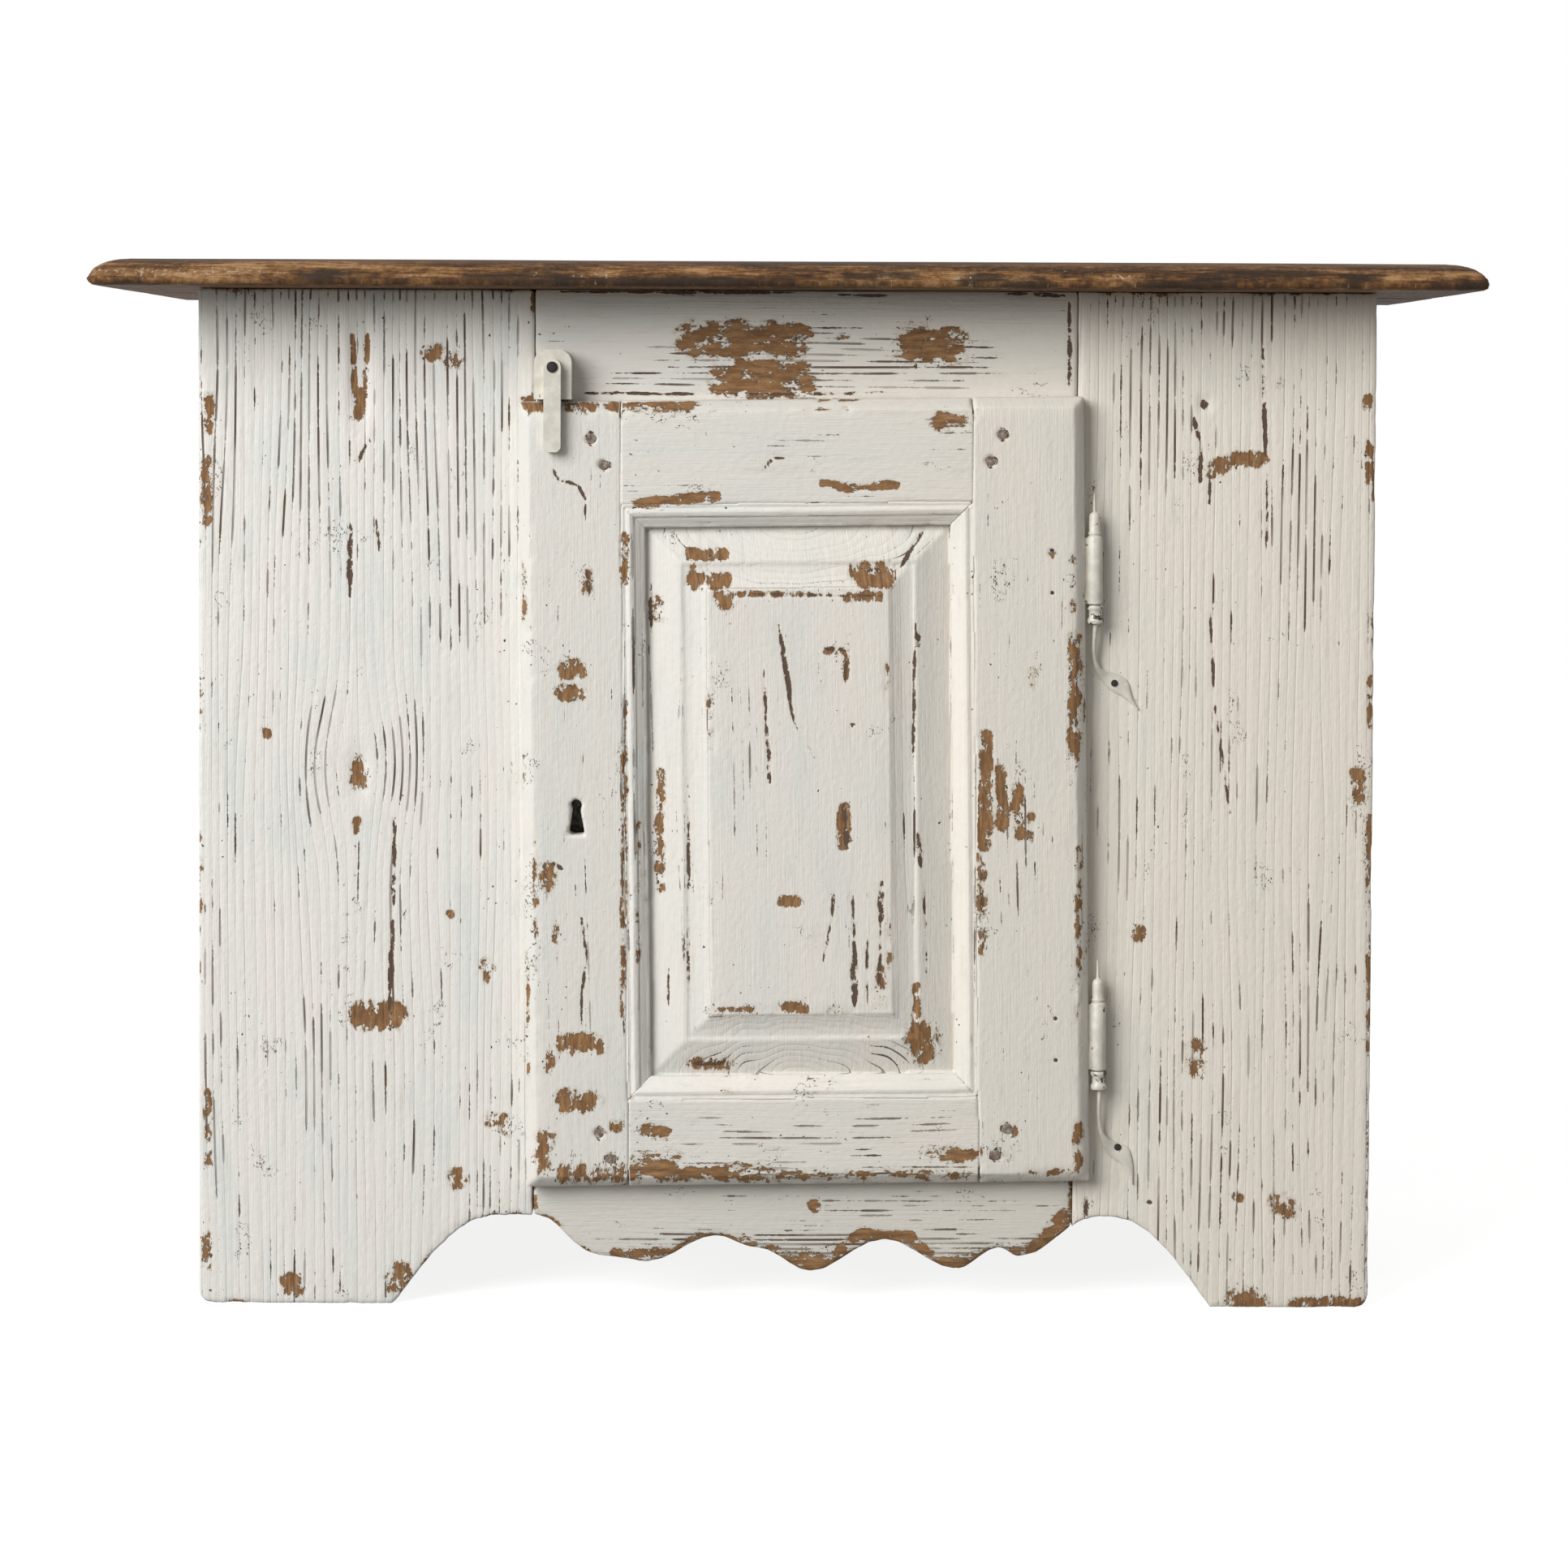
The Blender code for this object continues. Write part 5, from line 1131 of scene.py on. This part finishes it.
def door_boards():
    marks = marks_on(DOOR_Y, DOOR_CHIPS, DOOR_SCARS, DOOR_STREAKS, lean=DOOR_LEAN)
    marks.scars_and_shadow.extend(peg_rims())
    for node, grain in DOOR_GRAINS.items():
        board(node, "painted_wood", grain, DOOR_VOXEL, FRONT, marks, DOOR_WEAR)
    panel_marks = marks_on(PANEL_Y, PANEL_CHIPS, PANEL_SCARS, PANEL_STREAKS, lean=DOOR_LEAN / 2)
    carve = carver(PANEL_PROFILE, PANEL_Y - FIELD_PROUD, outer=False)
    board("door_panel", "painted_wood", PANEL_GRAIN, PANEL_VOXEL, FRONT, panel_marks, PANEL_WEAR, carve)
    carve = carver(MOULDING_PROFILE, DOOR_Y, outer=True)
    for sides, grain in ((UPRIGHT_SIDES, UPRIGHT_MOULDING), (LEVEL_SIDES, LEVEL_MOULDING)):
        boards_alike(
            ["moulding_" + side for side in sides], "painted_wood", grain, MOULDING_VOXEL,
            face=FRONT, marks=marks, wear=MOULDING_WEAR, carve=carve,
        )


def body_boards():
    """The top, the sides, the back and the inside."""
    places = ("front", "back")
    # Pale scuffs with painted highlight, and stains with painted shade, on the top's nose
    marks = marks_on(TOP_Y, chips_and_highlight=TOP_SCUFFS_AND_HIGHLIGHT, streaks=TOP_STAINS_AND_SHADE)
    tops = [f"top_board_{place}" for place in places]
    boards_alike(tops, "top_wood", TOP_GRAIN, TOP_VOXEL, marks=marks, wear=TOP_WEAR)
    for side, grain, face in (("left", LEFT_GRAIN, LEFT), ("right", RIGHT_GRAIN, RIGHT)):
        boards = [f"side_board_{side}_{place}" for place in places]
        boards_alike(boards, "painted_wood", grain, SIDE_VOXEL, face=face)
    backs = sorted(name for name in NODES if name.startswith("back_board"))
    boards_alike(backs, "raw_wood", BACK_GRAIN, SIDE_VOXEL, face=BACK)
    shelves = [f"{level}_board_{place}" for level in ("floor", "shelf") for place in places]
    boards_alike(shelves, "raw_wood", SHELF_GRAIN, INSIDE_VOXEL)
    kinds = ("floor_cleat", "shelf_cleat", "top_batten")
    cleats = [f"{kind}_{side}" for kind in kinds for side in UPRIGHT_SIDES]
    boards_alike(cleats, "raw_wood", CLEAT_GRAIN, SIDE_VOXEL)


# Hinge tails: the middle line in the photograph's pixels and its half width in pixels, from collar to tip
TAIL_ROUTES = {
    "upper": (
        (1350, 768, 3.0), (1348, 795, 2.4), (1349, 813, 2.6), (1354, 826, 4.0), (1363, 834, 7.5),
        (1373, 840, 10.5), (1382, 847, 10.0), (1389, 856, 5.5), (1395, 865, 2.4), (1402, 874, 0.8),
    ),
    "lower": (
        (1355, 1342, 3.0), (1354, 1372, 2.4), (1356, 1392, 2.8), (1362, 1406, 5.0), (1371, 1415, 9.5),
        (1381, 1421, 11.0), (1388, 1431, 7.5), (1392, 1444, 4.5), (1395, 1459, 0.8),
    ),
}
# Rings from point to point, points in a ring, half the thickness of the rod and of the flat leaf, and the
# number of the point from which the tail lies on the plank
TAIL_STEPS = 6
TAIL_SIDES = 14
TAIL_THICK = 0.0019
LEAF_THICK = 0.0011
LEAF_FROM = 4
# The collar under the barrel: radius, and height above the barrel's foot
COLLAR_PROFILE = (
    (0.0026, 0.030), (0.0026, -0.0003), (0.0058, -0.0005), (0.0064, -0.0020), (0.0058, -0.0036),
    (0.0050, -0.0046), (0.0050, -0.0094), (0.0060, -0.0106), (0.0065, -0.0124), (0.0058, -0.0142),
    (0.0028, -0.0152),
)
# The door's barrel, from its bore round its foot and up to the spike: radius, and height above its foot
BARREL_PROFILE = (
    (0.0034, 0.0440), (0.0034, 0.0006), (0.0055, 0.0006), (0.0059, 0.0016), (0.0059, 0.0508),
    (0.0055, 0.0520), (0.0045, 0.0524), (0.0045, 0.0532), (0.0050, 0.0538), (0.0050, 0.0552),
    (0.0043, 0.0560), (0.0044, 0.0610), (0.0043, 0.0670), (0.0037, 0.0692), (0.0022, 0.0704),
    (0.0012, 0.0710), (0.0009, 0.0780), (0.0005, 0.0850),
)
# A nail through each tail: radius, and height in front of the plank
NAIL_PROFILE = ((0.0014, -0.0140), (0.0016, 0.0016), (0.0027, 0.0022), (0.0024, 0.0030), (0.0012, 0.0034))
TURNED_SIDES = 28
PLATE_HALF_THICK = 0.00125
PLATE_RISE = (0.001, 0.051)
PLATE_ROOT = 0.0044
SHARP_TURN = math.radians(50)


def plate_rings(left, base):
    """The two ends of the plate that runs from the barrel into the door's edge."""
    front, back = base.y - PLATE_HALF_THICK, base.y + PLATE_HALF_THICK
    low, high = (base.z + rise for rise in PLATE_RISE)
    corners = ((front, low), (back, low), (back, high), (front, high))
    return [[(x, *corner) for corner in corners] for x in (left, base.x - PLATE_ROOT)]


def turned_rings(base, axis, profile):
    """Rings round an axis through base, from a profile of radius and height along the axis."""
    side = axis.orthogonal().normalized()
    other = axis.cross(side)
    turns = [2.0 * math.pi * i / TURNED_SIDES for i in range(TURNED_SIDES)]
    return [
        [base + axis * rise + (side * math.cos(turn) + other * math.sin(turn)) * radius for turn in turns]
        for radius, rise in profile
    ]


def smooth_path(knots):
    """Points on a smooth curve through the knots."""
    padded = np.concatenate([knots[:1], knots, knots[-1:]])
    stations = []
    for before, start, end, after in zip(padded, padded[1:], padded[2:], padded[3:]):
        for step in range(TAIL_STEPS):
            t = step / TAIL_STEPS
            curve = 2 * start + (end - before) * t + (2 * before - 5 * start + 4 * end - after) * t ** 2
            stations.append((curve + (3 * start - before - 3 * end + after) * t ** 3) / 2)
    return np.array(stations + [knots[-1]])


def tail_rings(route):
    """Rings along a tail that starts as a rod on the hinge's axis and ends as a leaf on the plank."""
    pixel = (FRONT_Y - CAMERA_PLACE.y) / FOCAL_PIXELS
    knots = []
    for number, (px, py, half) in enumerate(route):
        flat = min(number / LEAF_FROM, 1.0)
        y = HINGE_POINT.y * (1.0 - flat) + (FRONT_Y - LEAF_THICK) * flat
        x, z = seen_at(px, py, y)
        knots.append((x, y, z, half * pixel, TAIL_THICK * (1.0 - flat) + LEAF_THICK * flat))
    stations = smooth_path(np.array(knots))
    ways = np.gradient(stations[:, [0, 2]], axis=0)
    turns = [2.0 * math.pi * i / TAIL_SIDES for i in range(TAIL_SIDES)]
    rings = []
    for (x, y, z, half, thick), (way_x, way_z) in zip(stations, ways):
        half /= math.hypot(way_x, way_z)
        outs = [(half * math.cos(turn), thick * math.sin(turn)) for turn in turns]
        rings.append([(x - way_z * out, y + rise, z + way_x * out) for out, rise in outs])
    return rings


def skin(shape, rings):
    """Faces between rings of points, each ring with as many points, and over the two ends."""
    made = [[shape.verts.new(point) for point in ring] for ring in rings]
    faces = [shape.faces.new(made[0][::-1]), shape.faces.new(made[-1])]
    for low, high in zip(made, made[1:]):
        for i in range(len(low)):
            after = (i + 1) % len(low)
            faces.append(shape.faces.new((low[i], low[after], high[after], high[i])))
    return faces


def skinned(name, node, slot_name, *skins):
    """A piece that stands for a node, made of rings of points and the material over each set of rings."""
    shape = bmesh.new()
    mesh = bpy.data.meshes.new(name)
    materials = list(dict.fromkeys(material for _, material in skins))
    for rings, material in skins:
        for face in skin(shape, rings):
            face.material_index = materials.index(material)
    bmesh.ops.recalc_face_normals(shape, faces=shape.faces)
    shape.to_mesh(mesh)
    shape.free()
    for material in materials:
        mesh.materials.append(material)
    mesh.shade_smooth()
    mesh.set_sharp_from_angle(angle=SHARP_TURN)
    settle(linked(name, mesh), node)


def hinges():
    """Collars and tails stand for the pintles, barrels for the leaves, and each tail has its nail."""
    for which, route in TAIL_ROUTES.items():
        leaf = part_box("hinge_leaf_" + which)[0]
        base = HINGE_POINT + HINGE_AXIS * ((leaf.z - HINGE_POINT.z) / HINGE_AXIS.z)
        collar = turned_rings(base, HINGE_AXIS, COLLAR_PROFILE)
        barrel = turned_rings(base, HINGE_AXIS, BARREL_PROFILE)
        middle = sum(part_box("hinge_nail_" + which), Vector()) / 2
        nail = turned_rings(Vector((middle.x, FRONT_Y, middle.z)), Vector(FRONT), NAIL_PROFILE)
        skinned(
            "hinge_tail_" + which, "hinge_pintle_" + which, "painted_iron",
            (tail_rings(route), IRON), (collar, COLLAR_IRON),
        )
        skinned(
            "hinge_barrel_" + which, "hinge_leaf_" + which, "painted_iron",
            (barrel, IRON), (plate_rings(leaf.x, base), IRON),
        )
        skinned("hinge_nail_worn_" + which, "hinge_nail_" + which, "iron", (nail, HOLE_SHADE_IRON))


def finish_nodes():
    """Materials of the solids that show as they are."""
    for name, node in NODES.items():
        if node.hide_render:
            continue
        if name.startswith("door_peg"):
            material = PEGS
        # Painted shade: the button's screw is near black so that it reads as the pivot's hole
        elif name == "button_screw":
            material = HOLE_SHADE_IRON
        elif name.startswith(("lock", "strike", "hinge_pin_")):
            material = BARE_IRON
        else:
            material = IRON
        node.data.materials.clear()
        node.data.materials.append(material)


# Stage and light
FLOOR_SIZE = 14.0
FLOOR_COLOUR = srgb(112, 112, 110)
FLOOR_SHADE = (0.5, 0.5, 0.5, 1.0)
FLOOR_GLOW = 0.86
AMBIENT = 0.30
KEY_WATTS = 520.0
KEY_SIZE = 5.0
KEY_PLACE = Vector((-4.1, -4.75, 3.46))
KEY_AIM = Vector((0.0, -0.2, 0.42))


def shader(tree, kind, colour, strength=None):
    made = tree.nodes.new(kind)
    made.inputs["Color"].default_value = colour
    if strength is not None:
        made.inputs["Strength"].default_value = strength
    return made.outputs[0]


def by_ray(tree, output_kind, lit, shown):
    """Rays of the camera, of reflections and through glass meet shown, and all others meet lit."""
    path = tree.nodes.new("ShaderNodeLightPath")
    share = path.outputs["Is Camera Ray"]
    for name in ("Is Glossy Ray", "Is Transmission Ray"):
        largest = tree.nodes.new("ShaderNodeMath")
        largest.operation = "MAXIMUM"
        tree.links.new(share, largest.inputs[0])
        tree.links.new(path.outputs[name], largest.inputs[1])
        share = largest.outputs[0]
    either = tree.nodes.new("ShaderNodeMixShader")
    for socket, value in zip(either.inputs, (share, lit, shown)):
        tree.links.new(value, socket)
    tree.links.new(either.outputs[0], tree.nodes.new(output_kind).inputs["Surface"])


def make_floor():
    """A floor that looks near white but sends little light up, with the object's shadow on it."""
    shape = bmesh.new()
    bmesh.ops.create_grid(shape, x_segments=1, y_segments=1, size=FLOOR_SIZE / 2)
    mesh = bpy.data.meshes.new("floor")
    shape.to_mesh(mesh)
    shape.free()
    material = bpy.data.materials.new("pale floor")
    material.use_nodes = True
    tree = material.node_tree
    tree.nodes.clear()
    pale = tree.nodes.new("ShaderNodeAddShader")
    tree.links.new(shader(tree, "ShaderNodeEmission", WHITE, FLOOR_GLOW), pale.inputs[0])
    tree.links.new(shader(tree, "ShaderNodeBsdfDiffuse", FLOOR_SHADE), pale.inputs[1])
    lit = shader(tree, "ShaderNodeBsdfDiffuse", FLOOR_COLOUR)
    by_ray(tree, "ShaderNodeOutputMaterial", lit, pale.outputs[0])
    mesh.materials.append(material)
    floor = linked("floor", mesh)


def make_world():
    world = bpy.data.worlds.new("studio")
    world.use_nodes = True
    tree = world.node_tree
    tree.nodes.clear()
    soft, white = (shader(tree, "ShaderNodeBackground", WHITE, strength) for strength in (AMBIENT, 1.0))
    by_ray(tree, "ShaderNodeOutputWorld", soft, white)
    bpy.context.scene.world = world


def make_key():
    data = bpy.data.lights.new("key", "AREA")
    data.shape = "DISK"
    data.size = KEY_SIZE
    data.energy = KEY_WATTS
    key = bpy.data.objects.new("key", data)
    key.location = KEY_PLACE
    key.rotation_euler = (KEY_AIM - KEY_PLACE).to_track_quat("-Z", "Y").to_euler()
    bpy.context.scene.collection.objects.link(key)


make_camera()
make_world()
make_floor()
make_key()
front_boards()
door_boards()
body_boards()
hinges()
finish_nodes()

bpy.context.scene.view_settings.view_transform = "Standard"
